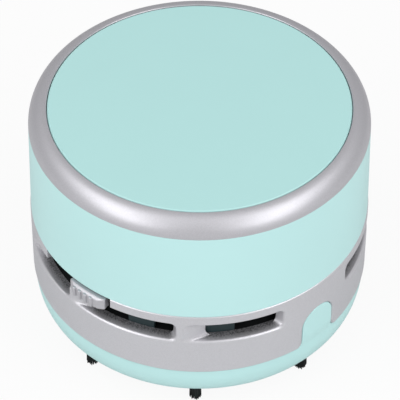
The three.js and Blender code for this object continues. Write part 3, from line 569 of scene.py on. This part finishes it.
def grainy_sills():
    """Painted shade on the sills of the vents, broken into coarse grains: darker the deeper into the vent and
    the nearer the sill, where the band above keeps the light off.
    """
    # The near-black tone that the sills are mixed towards is painted shade.
    dark = {"data_type": "RGBA", "A": "enter.Color", "B": (0.02, 0.02, 0.022, 1)}
    nodes = {
        "parts": ("SeparateXYZ", {"Vector": "place.Object"}),
        "flat": ("CombineXYZ", {"X": "parts.X", "Y": "parts.Y"}),
        "reach": ("VectorMath", {"operation": "LENGTH", 0: "flat.Vector"}),
        "inward": spanned("reach.Value", 42.7 * MM, 40.9 * MM),
        "low": spanned("parts.Z", VENT_SILL + 0.7 * MM, VENT_SILL + 0.2 * MM),
        "grain": ("TexNoise", {"Vector": "place.Object", "Scale": 3200, "Detail": 2}),
        "speckle": spanned("grain.Fac", 0.36, 0.64, **{"To Min": 0.4, "To Max": 0.8}),
        "both": ("Math", {"operation": "MULTIPLY", 0: "inward.Result", 1: "low.Result"}),
        "share": ("Math", {"operation": "MULTIPLY", 0: "both.Value", 1: "speckle.Result"}),
        "tone": ("Mix", {**dark, "Factor": "share.Value"}),
    }
    return effect("grainy_sills", {"Color": GREY}, nodes, {"Color": "tone.Result"})


def surface(name, nodes, values, height, depth):
    """A finish, made the first time it is asked for, from nodes, what they and some values feed
    to the shader, and a bump of some depth by a height."""
    if name in bpy.data.materials:
        return bpy.data.materials[name]
    material = bpy.data.materials.new(name)
    material.use_nodes = True
    tree = material.node_tree
    nodes = {**nodes, "bump": ("Bump", {"Strength": 1, "Distance": depth, "Height": height})}
    wired(tree, nodes, tree.nodes["Principled BSDF"], {**values, "Normal": "bump.Normal"})
    return material


def toned(colour, share=1.0):
    """A colour made darker or lighter, as a node has it."""
    return (*(min(1.0, channel * share) for channel in colour), 1)


def tones(colour, spread):
    """A darker and a lighter version of a colour for an effect."""
    return {"Tone A": toned(colour, 1 - spread), "Tone B": toned(colour, 1 + spread)}


def coated(name, group, depth, sockets, values):
    """A finish whose tone, roughness and height come from an effect."""
    values = {"Base Color": "skin.Color", "Roughness": "skin.Roughness", **values}
    return surface(name, {"skin": ("Group", {"node_tree": group, **sockets})}, values, "skin.Height", depth)


def moulded(name, colour, rough, spread=0.012, grain=2500.0, cloud=60.0, depth=2e-6):
    """Moulded plastic with a fine skin."""
    sockets = {
        **tones(colour, spread), "Cloud Scale": cloud, "Grain Scale": grain,
        "Rough Low": rough - 0.05, "Rough High": rough + 0.05,
    }
    return coated(name, mould_skin(), depth, sockets, {"Specular IOR Level": 0.3})


def metal(name, colour, rough):
    """Bare or plated metal with fine lines."""
    sockets = {**tones(colour, 0.08), "Rough Low": rough - 0.08, "Rough High": rough + 0.1}
    return coated(name, brushed_lines(), 2e-6, sockets, {"Metallic": 1})


def flaked(name, colour, sills=False):
    """Satin paint with fine metal flakes, which can carry painted shade, broken into grains, on the sills of
    the vents.
    """
    nodes = {"flakes": ("Group", {"node_tree": metal_flakes(), **tones(colour, 0.05)})}
    values = {"Base Color": "flakes.Color", "Metallic": 0.6, "Roughness": 0.45}
    if sills:
        # Painted shade on the sills of the vents, in grains
        nodes["grains"] = ("Group", {"node_tree": grainy_sills(), "Color": "flakes.Color"})
        values["Base Color"] = "grains.Color"
    return surface(name, nodes, values, "flakes.Height", 1.5e-6)


def woven_gauze(colour):
    """Filter gauze of crossing threads."""
    thread = {"Vector": "place.Object", "Scale": 420, "Distortion": 0.6, "Detail Scale": 80}
    shades = {"data_type": "RGBA", "A": toned(colour, 0.35), "B": toned(colour)}
    nodes = {
        "place": ("TexCoord", {}),
        "warp": ("TexWave", {"bands_direction": "X", **thread}),
        "weft": ("TexWave", {"bands_direction": "Y", **thread}),
        "weave": ("Math", {"operation": "MAXIMUM", 0: "warp.Fac", 1: "weft.Fac"}),
        "tone": ("Mix", {**shades, "Factor": "weave.Value"}),
    }
    values = {"Base Color": "tone.Result", "Roughness": 0.9, "Sheen Weight": 0.2}
    return surface("woven_gauze", nodes, values, "weave.Value", 8e-5)


def cell_sleeve(colour, side):
    """Shrunk sleeve of a cell: a dark body, a pale band towards the nub and bare metal ends."""
    end = CELL_HALF if side == "right" else -CELL_HALF
    nodes = {
        "place": ("TexCoord", {}),
        "split": ("SeparateXYZ", {"Vector": "place.Object"}),
        "span": spanned("split.X", -end, end),
        "ramp": ("ValToRGB", {"Fac": "span.Result"}),
        "wear": ("Group", {"node_tree": mould_skin(), "Rough Low": 0.2, "Rough High": 0.34}),
    }
    values = {"Base Color": "ramp.Color", "Roughness": "wear.Roughness", "Metallic": 0.45}
    material = surface(f"cell_sleeve_{side}", nodes, values, "wear.Height", 1e-6)
    ramp = material.node_tree.nodes["ramp"].color_ramp
    ramp.interpolation = "CONSTANT"
    stops = (
        (0.0, BARE_METAL), (0.012, toned(colour)), (0.68, (0.62, 0.60, 0.55, 1)),
        (0.70, (0.45, 0.30, 0.10, 1)), (0.985, BARE_METAL),
    )
    while len(ramp.elements) < len(stops):
        ramp.elements.new(0.5)
    for element, (position, shade) in zip(ramp.elements, stops):
        element.position = position
        element.color = shade
    return material


def mint_plastic(colours):
    """Mint plastic of the upper shell and the tray."""
    return moulded("mint_skin", colours.mint, 0.36)


def silver_paint(colours):
    """Silver paint of the lid ring and the switch knob."""
    return flaked("silver_paint", colours.silver)


# Pieces


def fillet(rounding, depth):
    """How far a rounded edge stands back at a depth below its face."""
    if depth >= rounding:
        return 0
    return rounding - math.sqrt(rounding ** 2 - (rounding - max(0, depth)) ** 2)


def layered(piece, layers):
    """Cuts loops of edges round a flat cutter, layer by layer, and opens its mesh."""
    edited(piece)
    sliced([(0, depth * MM, 0) for depth in layers], (0, 1, 0), CLOSER)
    return bmesh.from_edit_mesh(piece.data)


def reshaped(piece):
    """Closes the mesh of a flat cutter whose corners were moved."""
    bmesh.update_edit_mesh(piece.data)
    return cleaned(piece, CLOSER)


def vent_cutter(square, clear, tip, sizes):
    """A flat cutter for one vent. It widens towards the band's face, which leaves the vent's
    edges rounded, and its far end is a ramp that sinks slowly from the tip in the face to the
    clear edge at the band's back."""
    wall, corner = sizes.band_wall, sizes.vent_corner
    start, end, far = (arc(azimuth, sizes.band_radius) for azimuth in (square, clear, tip))
    outward = math.copysign(1, start - end)
    over = 0.5 * MM
    piece = box((min(start, end), -over, VENT_SILL), (max(start, end), wall + 2 * MM, VENT_TOP))
    edited(piece, "EDGE")
    select_where(piece, "edges", lambda edge: abs(edge.verts[0].co.y - edge.verts[1].co.y) > over)
    bpy.ops.mesh.bevel(offset=corner, segments=8, affect="EDGES")
    mesh = layered(piece, VENT_LAYERS)
    for vertex in mesh.verts:
        along, depth, height = vertex.co
        reach = (along - start) / (end - start)
        share = min(1, max(0, depth) / wall)
        ramped = max(0, reach - RAMP_START) / (1 - RAMP_START)
        pull = CORNER_PULLS[reach >= RAMP_START]
        vertex.co.x += (far - end) * (1 - share ** RAMP_FALL) * ramped
        if reach < RAMP_START:
            vertex.co.x += outward * (fillet(sizes.vent_edge, depth) - SQUARE_LEAN * share)
        if height < VENT_SILL + corner:
            vertex.co.x += outward * pull * (1 - share) * (VENT_SILL + corner - height)
        if height < VENT_SILL + corner + over / 10:
            vertex.co.z -= fillet(sizes.sill_edge, depth)
        else:
            vertex.co.z += fillet(sizes.vent_edge, depth)
    return reshaped(piece)


def slot_cutter(sizes):
    """A flat cutter for the switch slot, open at its top, with its edges at the face rounded."""
    ends = [arc(azimuth, sizes.band_radius) for azimuth in SLOT_AZIMUTHS]
    piece = box((ends[0], -MM, SLOT_FOOT), (ends[1], 4 * MM, LIP_TOP + MM))
    mesh = layered(piece, SLOT_LAYERS)
    middle = sum(ends) / 2
    for vertex in mesh.verts:
        back = fillet(0.3 * MM, vertex.co.y)
        vertex.co.x += math.copysign(back, vertex.co.x - middle)
        if vertex.co.z < LIP_TOP:
            vertex.co.z -= back
    return reshaped(piece)


def arch_outline(azimuth, inset, foot, radius):
    """Outline of an arch in arc length and height: round above, flared at the foot."""
    middle = arc(azimuth, radius)
    half, rim, spring = ARCH_HALF - inset, TRAY_RIM - inset, TRAY_RIM + ARCH_RISE
    wide, low, high = half + ARCH_FLARE, rim - ARCH_DROP, rim + ARCH_FLARE
    side = [(wide, foot), (wide, low)]
    for step in range(1, 9):
        t = step / 8
        side.append((
            wide * (1 - t) ** 2 + 2 * half * t * (1 - t) + half * t * t,
            low * (1 - t) ** 2 + 2 * rim * t * (1 - t) + high * t * t,
        ))
    crown = [
        (half * math.cos(math.pi * step / 28), spring + half * math.sin(math.pi * step / 28))
        for step in range(29)
    ]
    left = [(-x, z) for x, z in reversed(side)]
    return [(middle + x, z) for x, z in side + crown + left]


def arch_cutter(azimuth, sizes):
    """A flat cutter for one arch, wider towards the band's face so that its edge is rounded."""
    foot = TRAY_RIM - MM
    corners = arch_outline(azimuth, 0, foot, sizes.band_radius)
    piece = plate(corners, -MM, 4 * MM)
    mesh = layered(piece, ARCH_LAYERS)
    outlines = {}
    for vertex in mesh.verts:
        along, depth, height = vertex.co
        nearest = min(range(len(corners)), key=lambda i: math.dist(corners[i], (along, height)))
        back = fillet(sizes.band_edge, depth)
        if back not in outlines:
            outlines[back] = arch_outline(azimuth, -back, foot, sizes.band_radius)
        vertex.co.x, vertex.co.z = outlines[back][nearest]
    return reshaped(piece)


def wall_strip(azimuth, half, radii, heights, rounding):
    """A piece of ring wall round an azimuth, with rounded edges."""
    inner, outer = radii
    foot, top = heights
    low = (arc(azimuth - half, outer), 0, foot)
    high = (arc(azimuth + half, outer), outer - inner, top)
    piece = box(low, high)
    rounded(piece, rounding, 2)
    return wrapped(piece, outer)


class VACUUM_OT_vent_band(bpy.types.Operator):
    """Model the silver band with its ramped vents, its arches and the switch slot"""

    bl_idname = "vacuum.vent_band"
    bl_label = "Vent band"

    def execute(self, context):
        sizes, colours = chosen(context)
        radius, wall = sizes.band_radius, sizes.band_wall
        start, end = arc(BAND_SEAM, radius), arc(BAND_SEAM + 360, radius)
        spare = 4 * MM
        lip = sizes.lip_wall
        section = [
            (wall, TRAY_RIM, 0), (0, TRAY_RIM, sizes.band_edge), (0, LIP_TOP, 0.4 * MM),
            (lip, LIP_TOP, 0.1 * MM), (lip, LEDGE, 0), (wall, LEDGE, 0),
        ]
        strip = bar(softened(section, 8), start - spare, end + spare)
        cutters = [arch_cutter(azimuth, sizes) for azimuth in ARCH_AZIMUTHS]
        cutters.append(slot_cutter(sizes))
        for turn in (0, 180):
            for vent in HALF_VENTS:
                ends = [azimuth + turn for azimuth in vent]
                if min(ends) < BAND_SEAM:
                    ends = [azimuth + 360 for azimuth in ends]
                cutters.append(vent_cutter(*ends, sizes))
        cut(strip, cutters)
        edited(strip)
        sliced([(start, 0, 0)], (-1, 0, 0), clear_outer=True)
        sliced([(end, 0, 0)], (1, 0, 0), clear_outer=True)
        wrapped(strip, radius)
        radii = (SHELF_INNER, radius - wall + 0.1 * MM)
        joined(strip, [
            wall_strip(azimuth + turn, half, radii, (SHELF_FOOT, VENT_SILL), 0.05 * MM)
            for turn in (0, 180)
            for azimuth, half in SHELVES
        ])
        # The band's paint is a lighter copy of the silver paint, as painted light, with painted shade on the
        # sills of the vents.
        paint = flaked("band_paint", colours.band, sills=True)
        finished(strip, "vent_band_skin", "housing", paint, ["vent_band"], angle=30)
        return {"FINISHED"}


def curved_in(radius, foot, width, rise):
    """A wall's lower edge that curves in to its underside along a quarter of an ellipse."""
    return [(radius - width + width * sine, foot + rise - rise * cosine) for cosine, sine in quarter(16)]


def tongue(azimuth, sizes):
    """One tongue of the tray, which fills an arch of the band."""
    radius = sizes.band_radius
    outline = arch_outline(azimuth, sizes.tongue_seam, TRAY_RIM - 1.2 * MM, radius)
    piece = plate(outline, 0, 2 * MM)
    rounded(piece, 0.25 * MM, 4, 40)
    edited(piece)
    sliced([(0, 0, TRAY_RIM + (step * 0.2 - 1.1) * MM) for step in range(22)], (0, 0, 1))
    face = sizes.tray_radius + 0.004 * MM
    top = radius - sizes.tongue_depth

    def outer(height):
        share = min(1, max(0, (height - TRAY_RIM + 0.4 * MM) / (3.4 * MM)))
        sunk = max(0, (TRAY_RIM - 0.4 * MM - height) / MM)
        return face + (top - face) * share * share * (3 - 2 * share) - 0.2 * MM * sunk * sunk

    return wrapped(piece, radius, outer)


def tuft_place(number):
    """Where one of the tufts stands."""
    return around(360 / TUFTS * number + TUFT_TURN, TUFT_RING)


class VACUUM_OT_dust_tray(bpy.types.Operator):
    """Model the dust tray: bowl, intake chimney, spigot, tongues and tuft sockets"""

    bl_idname = "vacuum.dust_tray"
    bl_label = "Dust tray"

    def execute(self, context):
        sizes, colours = chosen(context)
        outer = sizes.tray_radius
        wall = outer - TRAY_WALL
        spigot = sizes.band_radius - sizes.band_wall - 0.3 * MM
        spigot_back = spigot - 1.4 * MM
        apron = 20 * MM
        throat = (10.1 * MM, 11 * MM, 0)
        mouth = [throat, (11.2 * MM, UNDERSIDE, 1.2 * MM), (apron, UNDERSIDE, 0)]
        edge = curved_in(outer, UNDERSIDE, sizes.tray_edge, sizes.tray_rise)
        corners = [
            (outer, 13.2 * MM, 0), (outer, TRAY_RIM, 0.25 * MM), (spigot, TRAY_RIM, 0.1 * MM),
            (spigot, SPIGOT_TOP, 0.3 * MM), (spigot_back, SPIGOT_TOP, 0.3 * MM),
            (spigot_back, TRAY_RIM, 0.5 * MM), (wall, TRAY_RIM - 1.4 * MM, 0),
        ]
        bowl = curved_in(wall, TRAY_FLOOR, sizes.tray_edge - TRAY_WALL, sizes.tray_rise - TRAY_WALL)
        chimney = [
            (apron, TRAY_FLOOR, 0), (12.6 * MM, TRAY_FLOOR, 0.8 * MM),
            (10.4 * MM, CHIMNEY_TOP, 0.3 * MM), (9.0 * MM, CHIMNEY_TOP, 0.3 * MM), throat,
        ]
        inside = bowl[::-1] + softened(chimney, 6)[:-1]
        tray = turned(softened(mouth, 6) + edge + softened(corners, 6) + inside)
        boss = [(0, 6.4 * MM, 0), (3.15 * MM, 6.4 * MM, 0), (3.15 * MM, 9.4 * MM, 0.3 * MM), (0, 9.4 * MM, 0)]
        socket = [(0, 4 * MM), (1.95 * MM, 4 * MM), (1.95 * MM, 8.2 * MM), (0, 8.2 * MM)]
        places = [tuft_place(i) for i in range(TUFTS)]
        added(tray, [turned(softened(boss, 3), 32, place, closed=False) for place in places])
        cut(tray, [turned(socket, 32, place, closed=False) for place in places])
        joined(tray, [tongue(azimuth, sizes) for azimuth in ARCH_AZIMUTHS])
        finished(tray, "dust_tray_skin", "dust_tray", mint_plastic(colours), ["dust_tray"])
        return {"FINISHED"}


def one_bristle(sizes):
    """A straight bristle that narrows towards its foot, with loops of edges to bend it at."""
    nothing_selected()
    bpy.ops.mesh.primitive_cone_add(
        vertices=5, radius1=sizes.bristle_width * 0.3, radius2=sizes.bristle_width / 2,
        depth=BRISTLE_LENGTH, location=(0, 0, BRISTLE_LENGTH / 2), end_fill_type="NGON",
    )
    bristle = bpy.context.object
    bpy.ops.object.transform_apply(location=True)
    edited(bristle)
    sliced([(0, 0, BRISTLE_LENGTH * share) for share in (0.25, 0.5)], (0, 0, 1))
    bpy.ops.object.mode_set(mode="OBJECT")
    return bristle


def doubled(piece):
    """A copy of a piece with a mesh of its own."""
    double = piece.copy()
    double.data = piece.data.copy()
    bpy.context.collection.objects.link(double)
    return double


class VACUUM_OT_bristle_tufts(bpy.types.Operator):
    """Model the tufts of black bristles that the cleaner stands on"""

    bl_idname = "vacuum.bristle_tufts"
    bl_label = "Bristle tufts"

    def execute(self, context):
        sizes, colours = chosen(context)
        nylon = moulded("bristle_nylon", colours.bristle, 0.5, 0.3, grain=1500.0, cloud=900.0, depth=1e-5)
        chance = random.Random(7)
        bristle = one_bristle(sizes)
        strands = []
        for i in range(BRISTLES):
            ring = math.sqrt((i + 0.5) / BRISTLES)
            spin = i * GOLDEN_ANGLE
            strand = doubled(bristle)
            root = ring * ROOT_SPREAD * MM
            tip = ring * (TIP_SPREAD + 0.1 * chance.random()) * MM
            lean = 0.25 * MM * (chance.random() - 0.5)
            short = max(0.0, chance.gauss(0.2, 0.22)) * MM * (0.4 + ring)
            for vertex in strand.data.vertices:
                bend = (1 - vertex.co.z / BRISTLE_LENGTH) ** 2
                spread = root + (tip - root) * bend
                vertex.co.x += spread * math.cos(spin) + lean * bend * math.sin(spin)
                vertex.co.y += spread * math.sin(spin) - lean * bend * math.cos(spin)
                vertex.co.z = short + vertex.co.z * (BRISTLE_LENGTH - short) / BRISTLE_LENGTH
            strands.append(strand)
        tuft = strands[0]
        joined(tuft, strands[1:])
        bpy.data.objects.remove(bristle)
        for i in range(TUFTS):
            piece = doubled(tuft)
            spun = Matrix.Rotation(chance.random() * TURN, 4, "Z")
            piece.data.transform(Matrix.Translation(tuft_place(i)) @ spun)
            replaced = [f"bristle_tuft_{i + 1}"]
            finished(piece, f"bristles_{i + 1}", "dust_tray", nylon, replaced, 50, False)
        bpy.data.objects.remove(tuft)
        return {"FINISHED"}


class VACUUM_OT_upper_shell(bpy.types.Operator):
    """Model the mint upper shell with its legs and screw bosses"""

    bl_idname = "vacuum.upper_shell"
    bl_label = "Upper shell"

    def execute(self, context):
        sizes, colours = chosen(context)
        outer = sizes.shell_radius
        inner = outer - sizes.shell_draft - 1.9 * MM
        rebate = sizes.band_radius - sizes.lip_wall - 0.3 * MM
        seam = (inner, 45 * MM, 0)
        corners = [
            seam, (inner, LEDGE, 0.2 * MM), (rebate, LEDGE, 0.1 * MM),
            (rebate, LIP_TOP - 0.03 * MM, 0.05 * MM), (outer, LIP_TOP + 0.03 * MM, 0.06 * MM),
            (outer - sizes.shell_draft, SHELL_TOP, 0.25 * MM), (inner, SHELL_TOP, 0.15 * MM), seam,
        ]
        shell = turned(softened(corners, 4)[:-1])
        extras, legs = [], []
        for azimuth, half in LEGS:
            heights = (LEG_FOOT, LEDGE + 0.02 * MM)
            legs.append(wall_strip(azimuth, half, (LEG_INNER, LEG_OUTER), heights, 0.15 * MM))
            heights = (LEDGE + 0.05 * MM, 39.4 * MM)
            extras.append(wall_strip(azimuth, half, (LEG_INNER, RIB_REACH), heights, 0.3 * MM))
        hole_top = 41.2 * MM
        tube = [
            (BOSS_HOLE, DECK_TOP, 0), (3.4 * MM, DECK_TOP, 0.2 * MM), (3.4 * MM, BOSS_TOP, 0.3 * MM),
            (0, BOSS_TOP, 0), (0, hole_top, 0), (BOSS_HOLE, hole_top, 0), (BOSS_HOLE, DECK_TOP, 0),
        ]
        for azimuth in range(0, 360, 90):
            extras.append(turned(softened(tube, 3)[:-1], 40, around(azimuth, BOSS_RING)))
            extras.append(wall_strip(azimuth, 3, (37.5 * MM, RIB_REACH), (DECK_TOP, BOSS_TOP), 0.2 * MM))
        joined(shell, extras)
        finished(shell, "upper_shell_skin", "housing", mint_plastic(colours), ["upper_shell"])
        joined(legs[0], legs[1:])
        # The legs get a nearly black copy of the mint plastic, as painted shade for the shade behind the
        # vents.
        smoked = moulded("smoked_plastic", colours.smoked, 0.45, 0.06, grain=1400.0, depth=6e-6)
        finished(legs[0], "shell_legs", "housing", smoked)
        return {"FINISHED"}


class VACUUM_OT_lid(bpy.types.Operator):
    """Model the silver lid ring and the disc that lies in it"""

    bl_idname = "vacuum.lid"
    bl_label = "Lid ring and disc"

    def execute(self, context):
        sizes, colours = chosen(context)
        lip = sizes.disc_radius + sizes.disc_groove
        outer = sizes.shell_radius - sizes.shell_draft
        skirt = outer - 2.2 * MM
        inside = skirt - 1.4 * MM
        shelf = lip - 2.5 * MM
        crown = [
            (lip + (outer - lip) * cosine, SHELL_TOP + (TOP - SHELL_TOP) * sine)
            for cosine, sine in quarter(28)[:-1]
        ]
        ring = turned([
            (inside, SKIRT_FOOT), (skirt - 0.3 * MM, SKIRT_FOOT), (skirt, 57.15 * MM), (skirt, SHELL_TOP),
            (outer - 0.12 * MM, SHELL_TOP), *crown, (lip + 0.12 * MM, TOP - 0.03 * MM), (lip, TOP - 0.2 * MM),
            (lip, DISC_FOOT), (shelf, DISC_FOOT), (shelf, RING_FOOT), (inside, RING_FOOT),
        ])
        finished(ring, "lid_ring_skin", "lid", silver_paint(colours), ["lid_ring"])
        radius = sizes.disc_radius
        rim = [(0, DISC_FOOT, 0), (radius, DISC_FOOT, 0), (radius, TOP, sizes.disc_edge), (0, TOP, 0)]
        disc = turned(softened(rim, 8), closed=False)
        mint = moulded("disc_plastic", colours.disc, 0.4)
        finished(disc, "top_disc_skin", "lid", mint, ["top_disc"])
        return {"FINISHED"}


class VACUUM_OT_switch(bpy.types.Operator):
    """Model the slide switch: a curved plate with sloping ends and four grip ribs"""

    bl_idname = "vacuum.switch"
    bl_label = "Slide switch"

    def execute(self, context):
        sizes, colours = chosen(context)
        face = sizes.band_radius
        middle = arc(KNOB_AZIMUTH, face)
        half, grip_half, stem_half = (arc(azimuth, face) for azimuth in (KNOB_HALF, GRIP_HALF, 3))
        knob = box((middle - half, 0, KNOB_FOOT), (middle + half, 1.9 * MM, KNOB_TOP))
        edited(knob, "FACE")
        select_where(knob, "faces", lambda side: side.normal.y < -0.9)
        bpy.ops.mesh.extrude_region_move(TRANSFORM_OT_translate={"value": (0, -GRIP_RISE, 0)})
        bpy.ops.transform.resize(
            value=(grip_half / half, 1, GRIP_SHARE), center_override=(middle, -GRIP_RISE, KNOB_FOOT)
        )
        rounded(knob, sizes.knob_edge, 4, 25)
        corners = [
            (0, KNOB_FOOT, 0), (RIB_RADIUS, KNOB_FOOT, 0.3 * MM),
            (RIB_RADIUS, RIB_TOP, 0.25 * MM), (0, RIB_TOP, 0),
        ]
        rib = softened(corners, 5)
        for i in range(RIBS):
            place = (middle + (i - RIB_MIDDLE) * RIB_STEP, -GRIP_RISE + 0.02 * MM)
            added(knob, [turned(rib, 28, place, closed=False)])
        stem = box((middle - stem_half, MM, 30.75 * MM), (middle + stem_half, 5.85 * MM, 32.75 * MM))
        added(knob, [stem])
        wrapped(knob, face, step=1.0)
        paint = silver_paint(colours)
        finished(knob, "switch_knob_skin", "switch", paint, ["switch_knob"], angle=40)
        return {"FINISHED"}


def dressed(material, *starts):
    """Gives a finish to the CAD nodes whose names start in one of some ways."""
    for name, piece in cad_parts.items():
        if name.startswith(starts):
            piece.data.materials.clear()
            piece.data.materials.append(material)


class VACUUM_OT_works(bpy.types.Operator):
    """Finish the chassis, fan, motor, filter and contacts inside the housing"""

    bl_idname = "vacuum.works"
    bl_label = "Works inside the housing"

    def execute(self, context):
        colours = context.scene.vacuum_colours
        works = moulded("works_plastic", colours.works, 0.5, 0.15, grain=1200.0, depth=1e-5)
        pale = moulded("pale_plastic", colours.pale, 0.5, 0.02, grain=1200.0, depth=6e-6)
        black = moulded("lead_black", (0.012, 0.012, 0.014), 0.45, 0.2, depth=4e-6)
        red = moulded("lead_red", (0.42, 0.02, 0.015), 0.45, 0.1, depth=4e-6)
        brass = metal("plated_brass", (0.62, 0.42, 0.14), 0.3)
        steel = metal("bright_steel", (0.5, 0.51, 0.53), 0.26)
        dressed(works, "chassis", "fan_plate", "impeller", "switch_guide", "switch_carrier", "battery_cradle")
        dressed(pale, "filter_frame", "motor_end_cap")
        dressed(woven_gauze(colours.gauze), "filter_gauze")
        dressed(brass, "contact_bridge", "contact_plate", "motor_terminal", "switch_wiper", "switch_contact")
        dressed(steel, "deck_screw", "plate_screw", "motor_screw", "motor_shaft", "contact_spring")
        dressed(metal("motor_can_plate", (0.52, 0.53, 0.54), 0.3), "motor_can")
        dressed(black, "lead_minus", "lead_motor")
        dressed(red, "lead_plus")
        return {"FINISHED"}


class VACUUM_OT_cells(bpy.types.Operator):
    """Model the two round cells in their sleeves"""

    bl_idname = "vacuum.cells"
    bl_label = "Cells"

    def execute(self, context):
        colours = context.scene.vacuum_colours
        nub = CELL_HALF + 1.1 * MM
        dimple, cap = -CELL_HALF + 0.25 * MM, CELL_HALF - 0.3 * MM
        corners = [
            (0, dimple, 0), (5.6 * MM, dimple, 0.1 * MM), (6.0 * MM, -CELL_HALF, 0.1 * MM),
            (CELL_RADIUS, -CELL_HALF, 0.6 * MM), (CELL_RADIUS, CELL_HALF, 0.7 * MM),
            (6.2 * MM, CELL_HALF, 0.1 * MM), (5.9 * MM, cap, 0.1 * MM),
            (NUB_RADIUS, cap, 0.15 * MM), (NUB_RADIUS, nub, 0.3 * MM), (0, nub, 0),
        ]
        for number, side, way in ((1, "right", 1), (2, "left", -1)):
            place = Vector((0, way * CELL_AXIS.y, CELL_AXIS.z))
            laid = Vector((way, 0, 0)).to_track_quat("Z", "Y").to_matrix().to_4x4()
            cell = turned(softened(corners, 4), 72, closed=False)
            cell.data.transform(Matrix.Translation(place) @ laid)
            sleeve = cell_sleeve(colours.sleeve, side)
            finished(cell, f"cell_{number}", "housing", sleeve, [f"battery_cell_{number}"])
        return {"FINISHED"}


# Stage


def lamp(name, side):
    """A tall soft lamp at one side, leaning, that faces the cleaner."""
    across, ahead, height = LAMP_PLACE
    place = Vector((across * side, ahead, height))
    nothing_selected()
    bpy.ops.object.light_add(type="AREA", location=place)
    light = bpy.context.object
    light.name = name
    light.data.shape = "RECTANGLE"
    light.data.size, light.data.size_y = LAMP_SPANS
    light.data.energy = LAMP_WATTS
    light.rotation_euler = (Vector(LAMP_TARGET) - place).to_track_quat("-Z", "Y").to_euler()
    light.rotation_euler.rotate_axis("Z", math.radians(LAMP_LEAN * side))


def floor_finish():
    """Pale floor that shows the cleaner's shadow softly on white."""
    material = bpy.data.materials.new("floor_white")
    material.use_nodes = True
    tree = material.node_tree
    shader = tree.nodes["Principled BSDF"]
    feed(tree, shader, {"Base Color": FLOOR_TONE, "Roughness": 0.9, "Specular IOR Level": 0})
    nodes = {
        "glow": ("Emission", {"Strength": 1}),
        "path": ("LightPath", {}),
        "share": ("Math", {"operation": "MULTIPLY", 0: "path.Is Camera Ray", 1: FLOOR_GLOW}),
        "mix": ("MixShader", {"Fac": "share.Value", 1: "shader.BSDF", 2: "glow.Emission"}),
    }
    wired(tree, nodes, tree.nodes["Material Output"], {"Surface": "mix.Shader"}, shader=shader)
    return material


def white_room():
    """White surroundings that the camera sees brighter than they light the cleaner."""
    world = bpy.data.worlds.new("white_room")
    world.use_nodes = True
    tree = world.node_tree
    room = tree.nodes["Background"]
    feed(tree, room, {"Color": WHITE, "Strength": ROOM_LIGHT})
    nodes = {
        "seen": ("Background", {"Color": WHITE, "Strength": 1}),
        "path": ("LightPath", {}),
        "mix": ("MixShader", {"Fac": "path.Is Camera Ray", 1: "room.Background", 2: "seen.Background"}),
    }
    wired(tree, nodes, tree.nodes["World Output"], {"Surface": "mix.Shader"}, room=room)
    return world


class VACUUM_OT_stage(bpy.types.Operator):
    """Set the pale floor, the soft lamps, the surroundings and the camera"""

    bl_idname = "vacuum.stage"
    bl_label = "Stage"

    def execute(self, context):
        scene = context.scene
        nothing_selected()
        bpy.ops.mesh.primitive_plane_add(size=6)
        floor = context.object
        floor.name = "floor"
        floor.data.materials.append(floor_finish())
        scene.world = white_room()
        lamp("lamp_left", -1)
        lamp("lamp_right", 1)

        camera = bpy.data.objects.new("photo_camera", bpy.data.cameras.new("photo_camera"))
        scene.collection.objects.link(camera)
        rise, turn = math.radians(CAMERA_RISE), math.radians(CAMERA_TURN)
        back = Vector((math.sin(turn) * math.cos(rise), -math.cos(turn) * math.cos(rise), math.sin(rise)))
        camera.location = CAMERA_TARGET + back * CAMERA_DISTANCE
        camera.rotation_euler = (-back).to_track_quat("-Z", "Y").to_euler()
        camera.rotation_euler.rotate_axis("Z", math.radians(CAMERA_ROLL))
        camera.data.sensor_width = 36
        camera.data.lens = CAMERA_LENS
        camera.data.shift_x = CAMERA_SHIFT
        camera.data.clip_start = 0.01
        scene.camera = camera
        scene.view_settings.view_transform = "Standard"
        return {"FINISHED"}


class VACUUM_PT_panel(bpy.types.Panel):
    """The cleaner's pieces, sizes and colours"""

    bl_idname = "VACUUM_PT_panel"
    bl_label = "Desk vacuum cleaner"
    bl_space_type = "VIEW_3D"
    bl_region_type = "UI"
    bl_category = "Vacuum"

    def draw(self, context):
        layout = self.layout
        for operator in OPERATORS:
            layout.operator(operator.bl_idname)
        for group in chosen(context):
            column = layout.column()
            for name in group.__annotations__:
                column.prop(group, name)


OPERATORS = (
    VACUUM_OT_stage,
    VACUUM_OT_dust_tray,
    VACUUM_OT_bristle_tufts,
    VACUUM_OT_vent_band,
    VACUUM_OT_upper_shell,
    VACUUM_OT_lid,
    VACUUM_OT_switch,
    VACUUM_OT_works,
    VACUUM_OT_cells,
)
CLASSES = (VacuumSizes, VacuumColours, *OPERATORS, VACUUM_PT_panel)


def register():
    for cls in CLASSES:
        bpy.utils.register_class(cls)
    bpy.types.Scene.vacuum_sizes = bpy.props.PointerProperty(type=VacuumSizes)
    bpy.types.Scene.vacuum_colours = bpy.props.PointerProperty(type=VacuumColours)


def unregister():
    del bpy.types.Scene.vacuum_colours
    del bpy.types.Scene.vacuum_sizes
    for cls in reversed(CLASSES):
        bpy.utils.unregister_class(cls)


def main():
    register()
    bpy.ops.vacuum.stage()
    bpy.ops.vacuum.dust_tray()
    bpy.ops.vacuum.bristle_tufts()
    bpy.ops.vacuum.vent_band()
    bpy.ops.vacuum.upper_shell()
    bpy.ops.vacuum.lid()
    bpy.ops.vacuum.switch()
    bpy.ops.vacuum.works()
    bpy.ops.vacuum.cells()


if __name__ == "__main__":
    main()
